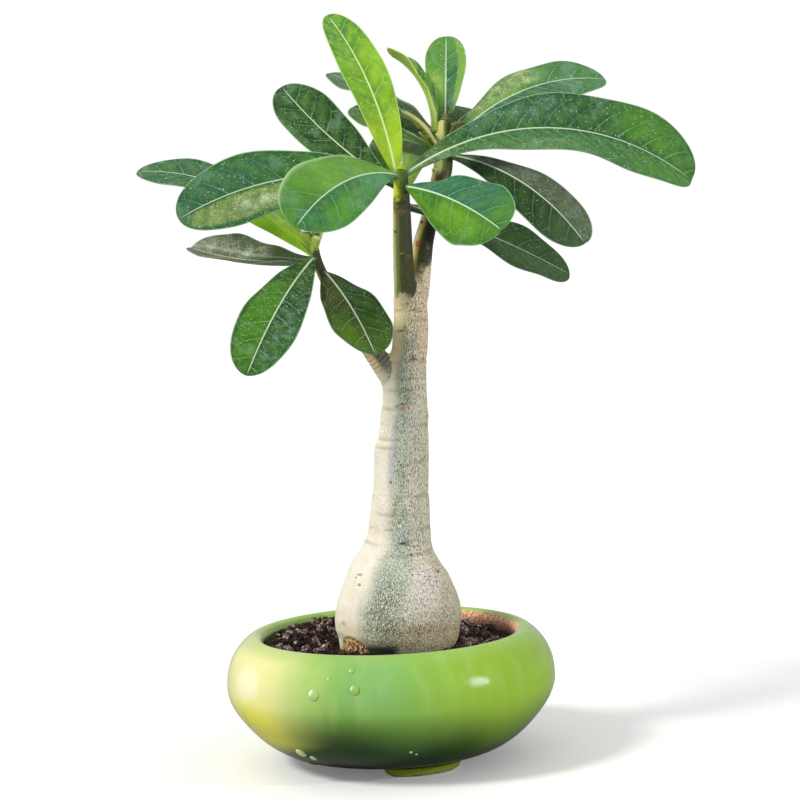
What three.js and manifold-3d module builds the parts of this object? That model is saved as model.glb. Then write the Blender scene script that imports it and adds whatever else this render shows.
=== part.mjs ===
// Potted desert rose: a swollen caudex with two stems and a thin branch, in a green glazed bowl.
// Millimetres, +Z up. Photo right is +X and +Y points away from the viewer.
import * as THREE from 'three'
import { mergeVertices } from 'three/addons/utils/BufferGeometryUtils.js'
import Module from 'manifold-3d'

const wasm = await Module()
wasm.setup()

// Driving dimensions of the pot
const POT_RADIUS = 70
const POT_HEIGHT = 55.2
const BODY_BOTTOM = 4.2
const FLOOR_TOP = 9.5
const DRAIN_RADIUS = 6
const POT_SIDES = 44
const FOOT_COUNT = 3
const FOOT_AZIMUTH = -68
const FOOT_DISTANCE = 31
const FOOT_HALF_WIDTH = 18
const FOOT_HALF_DEPTH = 9

// Driving dimensions of the soil
const SOIL_TOP = 48
const SOIL_RADIUS = 53.2
const SOIL_GAP = 0.4
const SOIL_SIDES = 32
const CRUMB_COUNT = 30
const CHIP_COUNT = 14

// Driving dimensions of the plant
const TRUNK_SIDES = 20
const TRUNK_STEPS = 34
const STEM_SIDES = 12
const STEM_STEPS = 12
const STALK_RADIUS = 1.3
const SEAT_GAP = 0.3
const MARGIN_THICKNESS = 0.65
const RIB_THICKNESS = 1.0
const LEAF_STATIONS = 13
const LEAF_COLUMNS = [-1, -0.55, 0, 0.55, 1]

// Caudex and trunk: height, centre x and radius
const TRUNK = [
  [22, 3, 4], [27, 3, 10], [34, 3, 17], [41, 3, 21.6], [48.4, 2.9, 24.2], [54, 3.5, 26.3],
  [60.7, 3.8, 27], [67, 3.9, 26.2], [73, 4.1, 24.2], [81.4, 4.6, 20.7], [86, 5.1, 17.6],
  [90.5, 5.6, 14.9], [95, 6.2, 13.5], [103, 6.6, 12.9], [112, 7.2, 12.2], [113.5, 7.3, 11.7],
  [123, 8, 11.6], [132, 8.4, 11.7], [135.5, 9.2, 10.8], [143, 9.8, 10.1], [148, 10.5, 10.2],
  [151, 10.9, 9.5], [161.5, 11.4, 9.3], [167, 12, 8.9], [173, 13.4, 7.7], [188, 14.5, 7.3],
  [197, 14.8, 7], [201.5, 14.5, 5], [204, 14.2, 2.4],
]

// Stems: centre line points x, y, z and radius, from inside the trunk to the tip
const STEMS = {
  front: [
    [13.4, -1, 190, 5.2], [12.7, -4, 200, 4.7], [12.5, -5.5, 216.5, 4.2], [12.7, -6, 231, 3.8],
    [12.9, -6, 242, 3.4], [13.1, -6, 250, 2.6],
  ],
  back: [
    [13.5, 0.5, 180, 5], [17.9, 3.6, 199, 5.3], [21.4, 6.5, 219, 4.3], [24.5, 8.8, 229, 3.7],
    [28.3, 11.5, 240, 3.9], [31.3, 14.5, 250, 4.2], [32.6, 16.5, 260, 3.8], [32.9, 17.6, 271, 2.6],
  ],
  left: [
    [9, 0, 159, 6], [2.5, -1.5, 168.5, 5.2], [-3, -2.5, 175, 3.6], [-9, -3, 184, 2.7],
    [-15.5, -3.5, 195, 2.4], [-21, -4, 206, 2.3], [-24, -4, 214, 2.2], [-24.8, -4, 221, 1.8],
  ],
}

// Leaves: stem, height on it, azimuth, rise, droop along the blade, roll, length, width, fold
const LEAVES = [
  leaf('front', 250, 131, 77, 34, 30, 81, 19, 0.3, { young: true, taper: 0.75, tip: 0.5 }),
  leaf('front', 244, 141, 28, -18, 40, 76, 25, 0.15),
  leaf('front', 248, -125, 7, 46, 44, 77, 33, 0.12, { wave: 0.02 }),
  leaf('front', 246, 181, 13, 42, 65, 94, 31, 0.1),
  leaf('front', 249, 14, 32, 71, -55, 136, 37, 0.3, { taper: 1.2, tip: 0.42, wave: 0.04 }),
  leaf('front', 243, -57, -7, 20, -48, 69, 31, 0.1, { curl: -0.2, tip: 0.5, wave: 0.05 }),
  leaf('front', 235, 20, -19.5, 9, -42, 79, 31, 0.1),
  leaf('front', 240, 88, 26, 6, 0, 78, 29, 0.1),
  leaf('back', 256, -36, -11, 42, -50, 77, 22, -0.35),
  leaf('back', 262.5, 20, 44, 50, -35, 80, 28, 0.1),
  leaf('back', 269, 83, 57, -5, 0, 47, 18, 0.25, { young: true }),
  leaf('back', 270, 144, 83, 60, -15, 43, 16, 0.35, { young: true }),
  leaf('back', 265, 138, 33, 12, 10, 70, 20, 0.1, { wave: 0.05 }),
  leaf('back', 259, 130, 26, 9, 25, 61, 18, 0.1),
  leaf('back', 264, 70, 27, 18, 0, 44, 23, 0.4),
  leaf('left', 217.3, 139, 34, 5, 50, 58, 14, 0.3, { young: true }),
  leaf('left', 220.5, 160, 47, 46, 27, 88, 25, 0.1),
  leaf('left', 214.5, 148, -6, -24, 22, 64, 24, 0.5),
  leaf('left', 215, -109, -19, 20, 20, 91, 25, 0.15, { taper: 1.0, tip: 0.5 }),
  leaf('left', 209, -66, -24, 21, -5, 59, 26, 0.1, { taper: 1, tip: 0.55 }),
]

function leaf(stem, at, azimuth, rise, droop, roll, length, width, fold, extra = {}) {
  const plain = { curl: 0, wave: 0.03, waves: 2.5, taper: 1.15, tip: 0.5, young: false }
  return { stem, at, azimuth, rise, droop, roll, length, width, fold, ...plain, ...extra }
}

const rad = THREE.MathUtils.degToRad
const lerp = THREE.MathUtils.lerp
const point = (x, y, z) => new THREE.Vector3(x, y, z)
const UP = point(0, 0, 1)

// Repeatable numbers between 0 and 1
function dice(seed) {
  let state = seed
  return () => {
    state = (state * 16807) % 2147483647
    return state / 2147483647
  }
}

// Turns the faces of a closed geometry outwards
function outward(geometry) {
  const position = geometry.attributes.position
  const index = geometry.index
  const [a, b, c] = [point(0, 0, 0), point(0, 0, 0), point(0, 0, 0)]
  let volume = 0
  for (let i = 0; i < index.count; i += 3) {
    a.fromBufferAttribute(position, index.getX(i))
    b.fromBufferAttribute(position, index.getX(i + 1))
    c.fromBufferAttribute(position, index.getX(i + 2))
    volume += a.dot(b.cross(c))
  }
  if (volume < 0) {
    for (let i = 0; i < index.count; i += 3) {
      const first = index.getX(i)
      index.setX(i, index.getX(i + 1))
      index.setX(i + 1, first)
    }
  }
  geometry.computeVertexNormals()
  return geometry
}

// Closed skin over rings of points. Point i faces point n-1-i, and both halves are split alike.
function loft(rings) {
  const n = rings[0].length
  const points = rings.flat()
  const faces = []
  for (let k = 0; k < rings.length - 1; k++) {
    for (let i = 0; i < n; i++) {
      const j = (i + 1) % n
      const [a, b, c, d] = [k * n + i, (k + 1) * n + i, (k + 1) * n + j, k * n + j]
      if (i < n / 2) faces.push(a, b, c, a, c, d)
      else faces.push(a, b, d, b, c, d)
    }
  }
  for (const [start, flip] of [[0, false], [(rings.length - 1) * n, true]]) {
    for (let i = 0; i < n / 2 - 1; i++) {
      const quad = [start + i, start + i + 1, start + n - 2 - i, start + n - 1 - i]
      if (flip) quad.reverse()
      faces.push(quad[0], quad[1], quad[2], quad[0], quad[2], quad[3])
    }
  }
  const geometry = new THREE.BufferGeometry().setFromPoints(points)
  geometry.setIndex(faces)
  return outward(geometry)
}

function toSolid(geometry) {
  const bare = geometry.clone()
  bare.deleteAttribute('normal')
  bare.deleteAttribute('uv')
  const merged = outward(mergeVertices(bare, 1e-4))
  const vertProperties = new Float32Array(merged.attributes.position.array)
  const triVerts = new Uint32Array(merged.index.array)
  return new wasm.Manifold(new wasm.Mesh({ numProp: 3, vertProperties, triVerts }))
}

// Geometry of the largest body, without any scrap or pocket that fusing left
function toGeometry(solid) {
  const bodies = solid.decompose()
  const largest = bodies.reduce((best, next) => (next.volume() > best.volume() ? next : best))
  const mesh = largest.getMesh()
  const geometry = new THREE.BufferGeometry()
  geometry.setAttribute('position', new THREE.BufferAttribute(mesh.vertProperties, 3))
  geometry.setIndex(new THREE.BufferAttribute(mesh.triVerts, 1))
  geometry.computeVertexNormals()
  return geometry
}

const joined = solids => solids.reduce((sum, next) => sum.add(next))

// Round limb along points x, y, z, radius. grow widens it, lumps gives it an uneven girth.
function limb(stations, sides, steps, grow = 0, lumps = () => 1) {
  const path = stations.map(s => point(s[0], s[1], s[2]))
  const centres = new THREE.CatmullRomCurve3(path, false, 'centripetal')
  const radii = new THREE.SplineCurve(stations.map((s, i) => new THREE.Vector2(i, s[3])))
  const rings = []
  for (let k = 0; k <= steps; k++) {
    const t = k / steps
    const centre = centres.getPoint(t)
    const along = centres.getTangent(t)
    const side = point(1, 0, 0).addScaledVector(along, -along.x).normalize()
    const across = along.clone().cross(side)
    const radius = radii.getPoint(t).y + grow
    const ring = []
    for (let i = 0; i < sides; i++) {
      const angle = (2 * Math.PI * i) / sides
      const reach = radius * lumps(angle, centre.z)
      ring.push(centre.clone()
        .addScaledVector(side, reach * Math.cos(angle))
        .addScaledVector(across, reach * Math.sin(angle)))
    }
    rings.push(ring)
  }
  return loft(rings)
}

// Slightly three-cornered caudex that grows rounder up the trunk
function caudexLumps(angle, z) {
  const strength = 0.02 * THREE.MathUtils.clamp((110 - z) / 50, 0.2, 1)
  return 1 + strength * (Math.cos(3 * angle + 1) + 0.5 * Math.cos(5 * angle + 2))
}

// Egg-shaped lump: a loft of rings from pole to pole
function egg(centre, radii, sides = 12, rows = 8) {
  const rings = []
  for (let k = 0; k <= rows; k++) {
    const latitude = lerp(-0.47, 0.47, k / rows) * Math.PI
    const ring = []
    for (let i = 0; i < sides; i++) {
      const angle = (2 * Math.PI * i) / sides
      ring.push(point(
        centre[0] + radii[0] * Math.cos(latitude) * Math.cos(angle),
        centre[1] + radii[1] * Math.cos(latitude) * Math.sin(angle),
        centre[2] + radii[2] * Math.sin(latitude)))
    }
    rings.push(ring)
  }
  return loft(rings)
}

// Caudex, trunk, stems, branch and the root lobe at soil level, as one solid
function plantBody(grow) {
  const column = TRUNK.map(([z, x, r], k) => [x, 0, k === 0 ? z - grow : z, r])
  const trunk = limb(column, TRUNK_SIDES, TRUNK_STEPS, grow, caudexLumps)
  const lobe = egg([-14, -14.5, 47.5], [7.5 + grow, 6.5 + grow, 7 + grow])
  const solids = [toSolid(trunk), toSolid(lobe)]
  if (grow === 0) {
    solids.push(toSolid(limb(STEMS.front, STEM_SIDES, STEM_STEPS)))
    solids.push(toSolid(limb(STEMS.back, STEM_SIDES, STEM_STEPS)))
    solids.push(toSolid(limb(STEMS.left, STEM_SIDES, STEM_STEPS)))
    for (const scar of leafScars()) solids.push(toSolid(scar))
  }
  return joined(solids)
}

// Stem centre and radius at a height
function stemAt(name, z) {
  const stations = STEMS[name]
  let k = 0
  while (k < stations.length - 2 && stations[k + 1][2] < z) k++
  const [low, high] = [stations[k], stations[k + 1]]
  const t = (z - low[2]) / (high[2] - low[2])
  const centre = point(lerp(low[0], high[0], t), lerp(low[1], high[1], t), z)
  return { centre, radius: lerp(low[3], high[3], t) }
}

// Low swellings under old leaf joints, wound up the young stems
function leafScars() {
  const scars = []
  const runs = [['front', 206, 234], ['back', 208, 246], ['left', 184, 206]]
  for (const [name, low, high] of runs) {
    for (let z = low, turn = 0; z < high; z += 6.5, turn += 137.5) {
      const { centre, radius } = stemAt(name, z)
      const reach = radius - 0.7
      const x = centre.x + reach * Math.cos(rad(turn))
      const y = centre.y + reach * Math.sin(rad(turn))
      scars.push(egg([x, y, z], [1.4, 1.4, 1.2], 6, 3))
    }
  }
  return scars
}

// Half width of a leaf at u, from the stalk at 0 to the tip at 1
function halfWidth(l, u) {
  const full = l.taper / (l.taper + l.tip)
  const peak = full ** l.taper * (1 - full) ** l.tip
  const blade = (u ** l.taper * (1 - u) ** l.tip * l.width) / 2 / peak
  return blade + STALK_RADIUS * (1 - u) ** 4
}

// Rings of a leaf whose stalk starts at a distance from the middle of its stem
function leafRings(l, number, seat) {
  const azimuth = rad(l.azimuth)
  const place = stemAt(l.stem, l.at).centre
  place.add(point(Math.cos(azimuth), Math.sin(azimuth), 0).multiplyScalar(seat))
  const right = point(Math.sin(azimuth), -Math.cos(azimuth), 0)
  const roll = rad(l.roll)
  const rings = []
  let u = 0
  for (let k = 0; k < LEAF_STATIONS; k++) {
    const next = 0.997 * (1 - (1 - k / (LEAF_STATIONS - 1)) ** 1.45)
    const middle = rad(l.rise - (l.droop * (u + next)) / 2)
    const step = l.length * (next - u)
    place.x += step * Math.cos(middle) * Math.cos(azimuth)
    place.y += step * Math.cos(middle) * Math.sin(azimuth)
    place.z += step * Math.sin(middle)
    u = next
    const pitch = rad(l.rise - l.droop * u)
    const lean = -Math.sin(pitch)
    const up = point(lean * Math.cos(azimuth), lean * Math.sin(azimuth), Math.cos(pitch))
    const across = right.clone().multiplyScalar(Math.cos(roll)).addScaledVector(up, Math.sin(roll))
    const face = up.multiplyScalar(Math.cos(roll)).addScaledVector(right, -Math.sin(roll))
    const half = halfWidth(l, u)
    const calm = Math.min(1, 3 * u) * Math.min(1, 4 * (1 - u))
    const top = []
    const bottom = []
    for (const t of LEAF_COLUMNS) {
      const phase = 2 * Math.PI * l.waves * u + 1.3 * number + (t > 0 ? 0 : 1.7)
      const lift = half * (l.fold * Math.abs(t) + l.curl * t * t)
      const ripple = l.wave * l.width * t * t * Math.sin(phase) * calm
      const rib = t === 0 ? lerp(1.6, 0.3, u) : 0
      const thickness = lerp(RIB_THICKNESS, MARGIN_THICKNESS, t * t) + rib + 0.6 * (1 - u) ** 6
      const upper = place.clone().addScaledVector(across, half * t).addScaledVector(face, lift + ripple)
      top.push(upper)
      bottom.unshift(upper.clone().addScaledVector(face, -thickness))
    }
    rings.push([...top, ...bottom])
  }
  return rings
}

// Leaf blade with stalk and raised rib, moved out until its stalk just clears the stem
function leafGeometry(l, number) {
  const seat = stemAt(l.stem, l.at).radius
  const clearances = leafRings(l, number, seat).slice(0, 3).flat().map(p => {
    const { centre, radius } = stemAt(l.stem, p.z)
    return Math.hypot(p.x - centre.x, p.y - centre.y) - radius
  })
  return loft(leafRings(l, number, seat + SEAT_GAP - Math.min(...clearances)))
}

// Growing tip: a small cone with a few narrow folded leaflets rising around it
function budGeometry(name, size, leaflets, seed) {
  const random = dice(seed)
  const stations = STEMS[name]
  const end = stations[stations.length - 1]
  const base = point(end[0], end[1], end[2] + 2 * SEAT_GAP)
  const cone = [0, 0.35, 0.7, 1].map(t => [base.x, base.y, base.z + size * t, end[3] * (1 - 0.8 * t)])
  const solids = [toSolid(limb(cone, 8, 4))]
  for (let i = 0; i < leaflets; i++) {
    const azimuth = rad(i * 137.5 + 40)
    const outwards = point(Math.cos(azimuth), Math.sin(azimuth), 0)
    const right = point(Math.sin(azimuth), -Math.cos(azimuth), 0)
    const long = size * (1.5 + random())
    const rings = [0, 0.35, 0.7, 1].map(t => {
      const reach = end[3] * 0.3 + long * t * (0.2 + 0.25 * t)
      const centre = base.clone().addScaledVector(outwards, reach).add(point(0, 0, 0.5 + long * t))
      const half = 0.5 + 1.2 * Math.sin(Math.PI * Math.min(0.9, 0.15 + 0.8 * t))
      return [[-1, 0.3], [0, 0], [1, 0.3], [1, -0.6], [0, -0.9], [-1, -0.6]].map(([t2, lift]) =>
        centre.clone().addScaledVector(right, half * t2).addScaledVector(outwards, -lift))
    })
    solids.push(toSolid(loft(rings)))
  }
  return toGeometry(joined(solids))
}

// Pot wall outline: r and z from the drain hole out under the belly, over the rim and down inside
function potProfile() {
  const outer = new THREE.SplineCurve([
    [38, BODY_BOTTOM], [47, 6.2], [55, 11], [61.5, 17.3], [67, 24.5], [69.6, 30.5], [POT_RADIUS, 35.5],
    [69.2, 41.5], [67, 47], [63.5, 51.6], [59.8, 54.6], [57.2, POT_HEIGHT],
  ].map(([r, z]) => new THREE.Vector2(r, z)))
  const inner = innerWall()
  return [
    new THREE.Vector2(DRAIN_RADIUS, BODY_BOTTOM), ...outer.getPoints(15), ...inner.getPoints(9),
    new THREE.Vector2(DRAIN_RADIUS, FLOOR_TOP), new THREE.Vector2(DRAIN_RADIUS, BODY_BOTTOM),
  ]
}

function innerWall() {
  return new THREE.SplineCurve([
    [55, 54.2], [54, 51.8], [55.5, 48], [60, 42], [62.5, 34], [60, 24], [52, 14], [40, FLOOR_TOP],
  ].map(([r, z]) => new THREE.Vector2(r, z)))
}

// Bowl with three low feet grown out of its underside and flat below
function potGeometry() {
  const bowl = new THREE.LatheGeometry(potProfile(), POT_SIDES).rotateX(Math.PI / 2)
  const solids = [toSolid(bowl)]
  for (let f = 0; f < FOOT_COUNT; f++) {
    const turn = rad(FOOT_AZIMUTH + (360 / FOOT_COUNT) * f)
    const rings = [[0, 0.82], [1.2, 0.9], [3.5, 0.97], [7.5, 1.15]].map(([z, spread]) => {
      const ring = []
      for (let i = 0; i < 20; i++) {
        const angle = (2 * Math.PI * i) / 20
        const out = FOOT_DISTANCE + FOOT_HALF_DEPTH * spread * Math.cos(angle)
        const along = FOOT_HALF_WIDTH * spread * Math.sin(angle)
        ring.push(point(out, along, z).applyAxisAngle(UP, turn))
      }
      return ring
    })
    solids.push(toSolid(loft(rings)))
  }
  return toGeometry(joined(solids))
}

// Gently uneven soil surface, banked up to the back left
function soilHeight(x, y) {
  const bank = 4.6 * THREE.MathUtils.clamp((y - 0.6 * x - 10) / 40, 0, 1)
  const slow = 0.9 * Math.sin(0.11 * x + 0.4) * Math.cos(0.13 * y - 0.7)
  const quick = 0.5 * Math.sin(0.37 * x + 1.1) * Math.sin(0.41 * y + 0.3)
  return SOIL_TOP + bank + slow + quick
}

// Soil fills the bowl to under the rim, with crumbs and bark chips sunk in, and a hole for the caudex
function soilGeometry() {
  const ring = (radius, height) => {
    const points = []
    for (let i = 0; i < SOIL_SIDES; i++) {
      const angle = (2 * Math.PI * i) / SOIL_SIDES
      const [x, y] = [radius * Math.cos(angle), radius * Math.sin(angle)]
      points.push(point(x, y, height(x, y)))
    }
    return points
  }
  const level = z => () => z
  const wall = innerWall().getPoints(9).filter(p => p.y < SOIL_TOP - 5).reverse()
  const rings = [ring(2, level(FLOOR_TOP + SOIL_GAP)), ring(39, level(FLOOR_TOP + SOIL_GAP))]
  for (const p of wall.slice(1)) rings.push(ring(p.x - 3 * SOIL_GAP, level(p.y)))
  rings.push(ring(SOIL_RADIUS + 0.8, (x, y) => soilHeight(x, y) - 3.5))
  for (const radius of [SOIL_RADIUS, 50, 45, 40, 35, 30, 24, 12, 2]) rings.push(ring(radius, soilHeight))
  const solids = [toSolid(loft(rings)), ...soilLumps()]
  return toGeometry(joined(solids).subtract(plantBody(SOIL_GAP)))
}

// Crumbs as rough eight-faced lumps and bark chips as flat slivers, strewn by seeded draws
function soilLumps() {
  const random = dice(20231)
  const lumps = []
  for (let i = 0; i < CRUMB_COUNT + CHIP_COUNT; i++) {
    const chip = i >= CRUMB_COUNT
    const distance = 29 + 20 * Math.sqrt(random())
    const bearing = 2 * Math.PI * random()
    const [x, y] = [distance * Math.cos(bearing), distance * Math.sin(bearing)]
    const size = 1.3 + 1.7 * random()
    const radii = chip ? [2.5 * size, 0.8 * size, 0.6 * size] : [size, 0.9 * size, 0.8 * size]
    const lump = new THREE.OctahedronGeometry(1, 0)
    lump.scale(...radii)
    lump.rotateX(0.5 * (random() - 0.5)).rotateY(0.5 * (random() - 0.5)).rotateZ(Math.PI * random())
    lump.translate(x, y, soilHeight(x, y) + 0.1 * size)
    lumps.push(toSolid(lump))
  }
  return lumps
}

const finish = (color, roughness) => new THREE.MeshStandardMaterial({ color, roughness, metalness: 0 })
const glaze = finish('#8cba3f', 0.12)
const earth = finish('#2e211b', 0.95)
const bark = finish('#a9ab90', 0.75)
const matureLeaf = finish('#2c6b37', 0.35)
const youngLeaf = finish('#7fbf1e', 0.4)
const budGreen = finish('#b4c94a', 0.5)

function named(name, geometry, material) {
  const mesh = new THREE.Mesh(geometry, material)
  mesh.name = name
  return mesh
}

const plant = new THREE.Group()
plant.add(named('pot', potGeometry(), glaze))
plant.add(named('soil', soilGeometry(), earth))
plant.add(named('trunk', toGeometry(plantBody(0)), bark))
const counts = {}
LEAVES.forEach((l, number) => {
  counts[l.stem] = (counts[l.stem] ?? 0) + 1
  const name = `leaf_${l.stem}_${counts[l.stem]}`
  plant.add(named(name, leafGeometry(l, number), l.young ? youngLeaf : matureLeaf))
})
plant.add(named('bud_front', budGeometry('front', 3, 0, 5), budGreen))
plant.add(named('bud_back', budGeometry('back', 2.5, 0, 6), budGreen))
plant.add(named('bud_left', budGeometry('left', 3, 4, 7), budGreen))

// The origin is the middle of the whole object's footprint, at the level the feet stand on
const box = new THREE.Box3().setFromObject(plant, true)
const middle = box.getCenter(point(0, 0, 0))
plant.position.set(-middle.x, -middle.y, -box.min.z)

const group = new THREE.Group()
group.add(plant)

export default group
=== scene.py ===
# %% [markdown]
# # A potted desert rose
# A young desert rose stands in a low green bowl: a swollen caudex, a ringed trunk, two upright stems
# and one thin branch, each with its rosette of leaves. The plant was first made as plain solids, and
# this lesson dresses them. The solids are loaded as a frame that never moves, so that every finer
# piece can be laid on the place that the frame gives.
# %% Load the frame and find the bowl
import math

import bmesh
import bpy
import numpy as np
from mathutils import Matrix, Vector


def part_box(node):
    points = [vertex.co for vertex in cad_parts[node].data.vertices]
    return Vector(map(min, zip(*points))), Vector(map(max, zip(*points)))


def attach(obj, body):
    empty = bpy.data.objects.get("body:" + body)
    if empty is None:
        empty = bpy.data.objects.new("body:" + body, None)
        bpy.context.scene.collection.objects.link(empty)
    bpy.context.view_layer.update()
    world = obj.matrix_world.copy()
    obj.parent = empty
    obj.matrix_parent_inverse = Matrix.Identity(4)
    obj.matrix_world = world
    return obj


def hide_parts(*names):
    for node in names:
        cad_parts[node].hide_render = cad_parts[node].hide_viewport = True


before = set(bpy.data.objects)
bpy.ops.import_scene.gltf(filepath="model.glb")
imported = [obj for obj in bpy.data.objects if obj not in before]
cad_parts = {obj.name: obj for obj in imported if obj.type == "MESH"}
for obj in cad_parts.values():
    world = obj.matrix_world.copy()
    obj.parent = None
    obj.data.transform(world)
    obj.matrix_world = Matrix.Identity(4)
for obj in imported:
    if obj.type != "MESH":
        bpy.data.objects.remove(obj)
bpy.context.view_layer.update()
MM = 0.001
low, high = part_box("pot")
bowl_middle = Vector(((low[0] + high[0]) / 2, (low[1] + high[1]) / 2, 0))


def at(x, y, z):
    """A point given in millimetres from the bowl's middle and from the level it stands on."""
    return bowl_middle + Vector((x, y, z)) * MM


print("bowl middle", [round(v, 4) for v in bowl_middle], "width", round(high[0] - low[0], 4))

# %% [markdown]
# ## The camera
# The picture was taken with a long lens from about two thirds of the plant's height, looking down a
# little, so the bowl's far rim shows and the leaves hardly shrink with distance. A camera could be
# turned by angles, but building its three axes from the point it looks at and a small roll keeps every
# number readable.
# %% Stand the camera
CAMERA_PLACE = at(0, -900, 220.5)
CAMERA_TARGET = at(8.71, 0, 153.13)
CAMERA_ROLL = math.radians(2.4)
LENS = 95.67
SENSOR_WIDTH = 36

view = (CAMERA_TARGET - CAMERA_PLACE).normalized()
level_right = view.cross(Vector((0, 0, 1))).normalized()
level_up = level_right.cross(view)
right = math.cos(CAMERA_ROLL) * level_right - math.sin(CAMERA_ROLL) * level_up
up = math.sin(CAMERA_ROLL) * level_right + math.cos(CAMERA_ROLL) * level_up
camera_data = bpy.data.cameras.new("camera")
camera_data.lens = LENS
camera_data.sensor_width = SENSOR_WIDTH
camera = bpy.data.objects.new("camera", camera_data)
axes = Matrix((right, up, -view)).transposed().to_4x4()
camera.matrix_world = Matrix.Translation(CAMERA_PLACE) @ axes
bpy.context.scene.collection.objects.link(camera)
bpy.context.scene.camera = camera
bpy.context.scene.view_settings.view_transform = "Standard"
print("camera stands", round((CAMERA_TARGET - CAMERA_PLACE).length, 3), "m away")

# %% [markdown]
# ## Writing node trees as sums
# Both the leaves' shape and every finish here are node trees. Adding nodes one by one hides the idea
# behind them, so a small class turns a written sum such as `u * 2 + 1` into Math nodes. The same class
# serves Geometry Nodes and shaders, because they share the Math node. `plug` feeds a socket from
# whatever is at hand: a plain value, another socket or such a number.
# %% Numbers that write their own nodes
class Number:
    """A number in a node tree. Sums, products and powers of it become Math nodes."""

    def __init__(self, tree, socket):
        self.tree = tree
        self.socket = socket

    def math(self, operation, *others):
        step = self.tree.nodes.new("ShaderNodeMath")
        step.operation = operation
        for value, slot in zip((self, *others), step.inputs):
            plug(self.tree, value, slot)
        return Number(self.tree, step.outputs[0])

    def __add__(self, other):
        return self.math("ADD", other)

    def __sub__(self, other):
        return self.math("SUBTRACT", other)

    def __mul__(self, other):
        return self.math("MULTIPLY", other)

    def __truediv__(self, other):
        return self.math("DIVIDE", other)

    def __pow__(self, other):
        return self.math("POWER", other)

    def __rsub__(self, other):
        return self * -1 + other

    __radd__ = __add__
    __rmul__ = __mul__

    def sin(self):
        return self.math("SINE")

    def cos(self):
        return self.math("COSINE")

    def size(self):
        return self.math("ABSOLUTE")

    def at_most(self, other):
        return self.math("MINIMUM", other)

    def at_least(self, other):
        return self.math("MAXIMUM", other)

    def below(self, other):
        return self.math("LESS_THAN", other)


def plug(tree, value, slot):
    """Feeds a socket from a number, another socket or a plain value."""
    if isinstance(value, Number):
        value = value.socket
    if isinstance(value, bpy.types.NodeSocket):
        tree.links.new(value, slot)
    else:
        slot.default_value = value


print("numbers know:", [name for name in vars(Number) if not name.startswith("_")])

# %% [markdown]
# ## Small helpers for node trees
# A few moves come back in every tree: add a node and feed it, take a vector apart, climb smoothly from
# 0 to 1, and open a group with named inputs and outputs. Each gets a short name here, so the trees
# below read as what they do.
# %% Name the moves that every tree needs
FLOAT = "NodeSocketFloat"
WHOLE = "NodeSocketInt"
VECTOR = "NodeSocketVector"
SHAPE = "NodeSocketGeometry"
FINISH = "NodeSocketMaterial"


def node(tree, kind, inputs=None, **options):
    """Adds a node with its options, and feeds its inputs by name or position."""
    made = tree.nodes.new(kind)
    for option, value in options.items():
        setattr(made, option, value)
    for slot, value in (inputs or {}).items():
        plug(tree, value, made.inputs[slot])
    return made


def parts(tree, vector):
    """The three numbers of a vector."""
    split = node(tree, "ShaderNodeSeparateXYZ", {0: vector})
    return [Number(tree, output) for output in split.outputs]


def joined(tree, x, y, z):
    """A vector of three numbers."""
    return node(tree, "ShaderNodeCombineXYZ", {0: x, 1: y, 2: z}).outputs[0]


def climb(number, start, end):
    """0 up to start, 1 from end on, and a smooth climb between them."""
    step = node(number.tree, "ShaderNodeMapRange", {0: number, 1: start, 2: end},
                interpolation_type="SMOOTHSTEP")
    return Number(number.tree, step.outputs[0])


def new_group(name, kind, inputs, outputs):
    """An empty node group with named inputs and outputs, and its numbers by name."""
    tree = bpy.data.node_groups.new(name, kind)
    for label, (socket_type, value) in inputs.items():
        socket = tree.interface.new_socket(label, in_out="INPUT", socket_type=socket_type)
        if value is not None:
            socket.default_value = value
    for label, socket_type in outputs.items():
        tree.interface.new_socket(label, in_out="OUTPUT", socket_type=socket_type)
    entry = tree.nodes.new("NodeGroupInput")
    leave = tree.nodes.new("NodeGroupOutput")
    given = {label: Number(tree, entry.outputs[label]) for label in inputs}
    return tree, given, leave


print("helpers for trees:", [helper.__name__ for helper in (node, parts, joined, climb, new_group)])

# %% [markdown]
# ## From a tree or a list of rings to a finished piece
# A finished piece is a plain mesh at the origin that rides with the object. One helper runs a geometry
# tree on a carrier and keeps only its result, and another closes a skin over rings of points. Both end
# in `finish_piece`, which welds seams, turns faces outwards and hides the solids that the piece replaces.
# %% Helpers that finish a piece
WELD = 1e-6


def shade(code):
    """A linear colour from the screen colour that a colour picker shows."""
    levels = [int(code[i:i + 2], 16) / 255 for i in (0, 2, 4)]
    return (*[v / 12.92 if v <= 0.04045 else ((v + 0.055) / 1.055) ** 2.4 for v in levels], 1.0)


def shell(rings):
    """Vertices and faces of a closed skin over rings of points."""
    count = len(rings[0])
    faces = []
    for k in range(len(rings) - 1):
        for i in range(count):
            j = (i + 1) % count
            faces.append((k * count + i, k * count + j, (k + 1) * count + j, (k + 1) * count + i))
    faces.append(tuple(range(count))[::-1])
    faces.append(tuple(range((len(rings) - 1) * count, len(rings) * count)))
    return [tuple(p) for ring in rings for p in ring], faces


def mesh_of(name, *shells):
    """One mesh from several closed skins given in millimetres from the bowl's middle."""
    points = []
    faces = []
    for skin_points, skin_faces in shells:
        faces += [tuple(len(points) + i for i in face) for face in skin_faces]
        points += [at(*p) for p in skin_points]
    mesh = bpy.data.meshes.new(name)
    mesh.from_pydata(points, [], faces)
    return mesh


def through_modifiers(name, mesh, add_modifiers):
    """The plain mesh that a carrier's modifiers leave, once they have been taken off again."""
    carrier = bpy.data.objects.new(name + "_carrier", mesh)
    bpy.context.scene.collection.objects.link(carrier)
    add_modifiers(carrier)
    depsgraph = bpy.context.evaluated_depsgraph_get()
    result = bpy.data.meshes.new_from_object(carrier.evaluated_get(depsgraph), depsgraph=depsgraph)
    carrier.modifiers.clear()
    bpy.data.objects.remove(carrier)
    result.name = name
    return result


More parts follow.
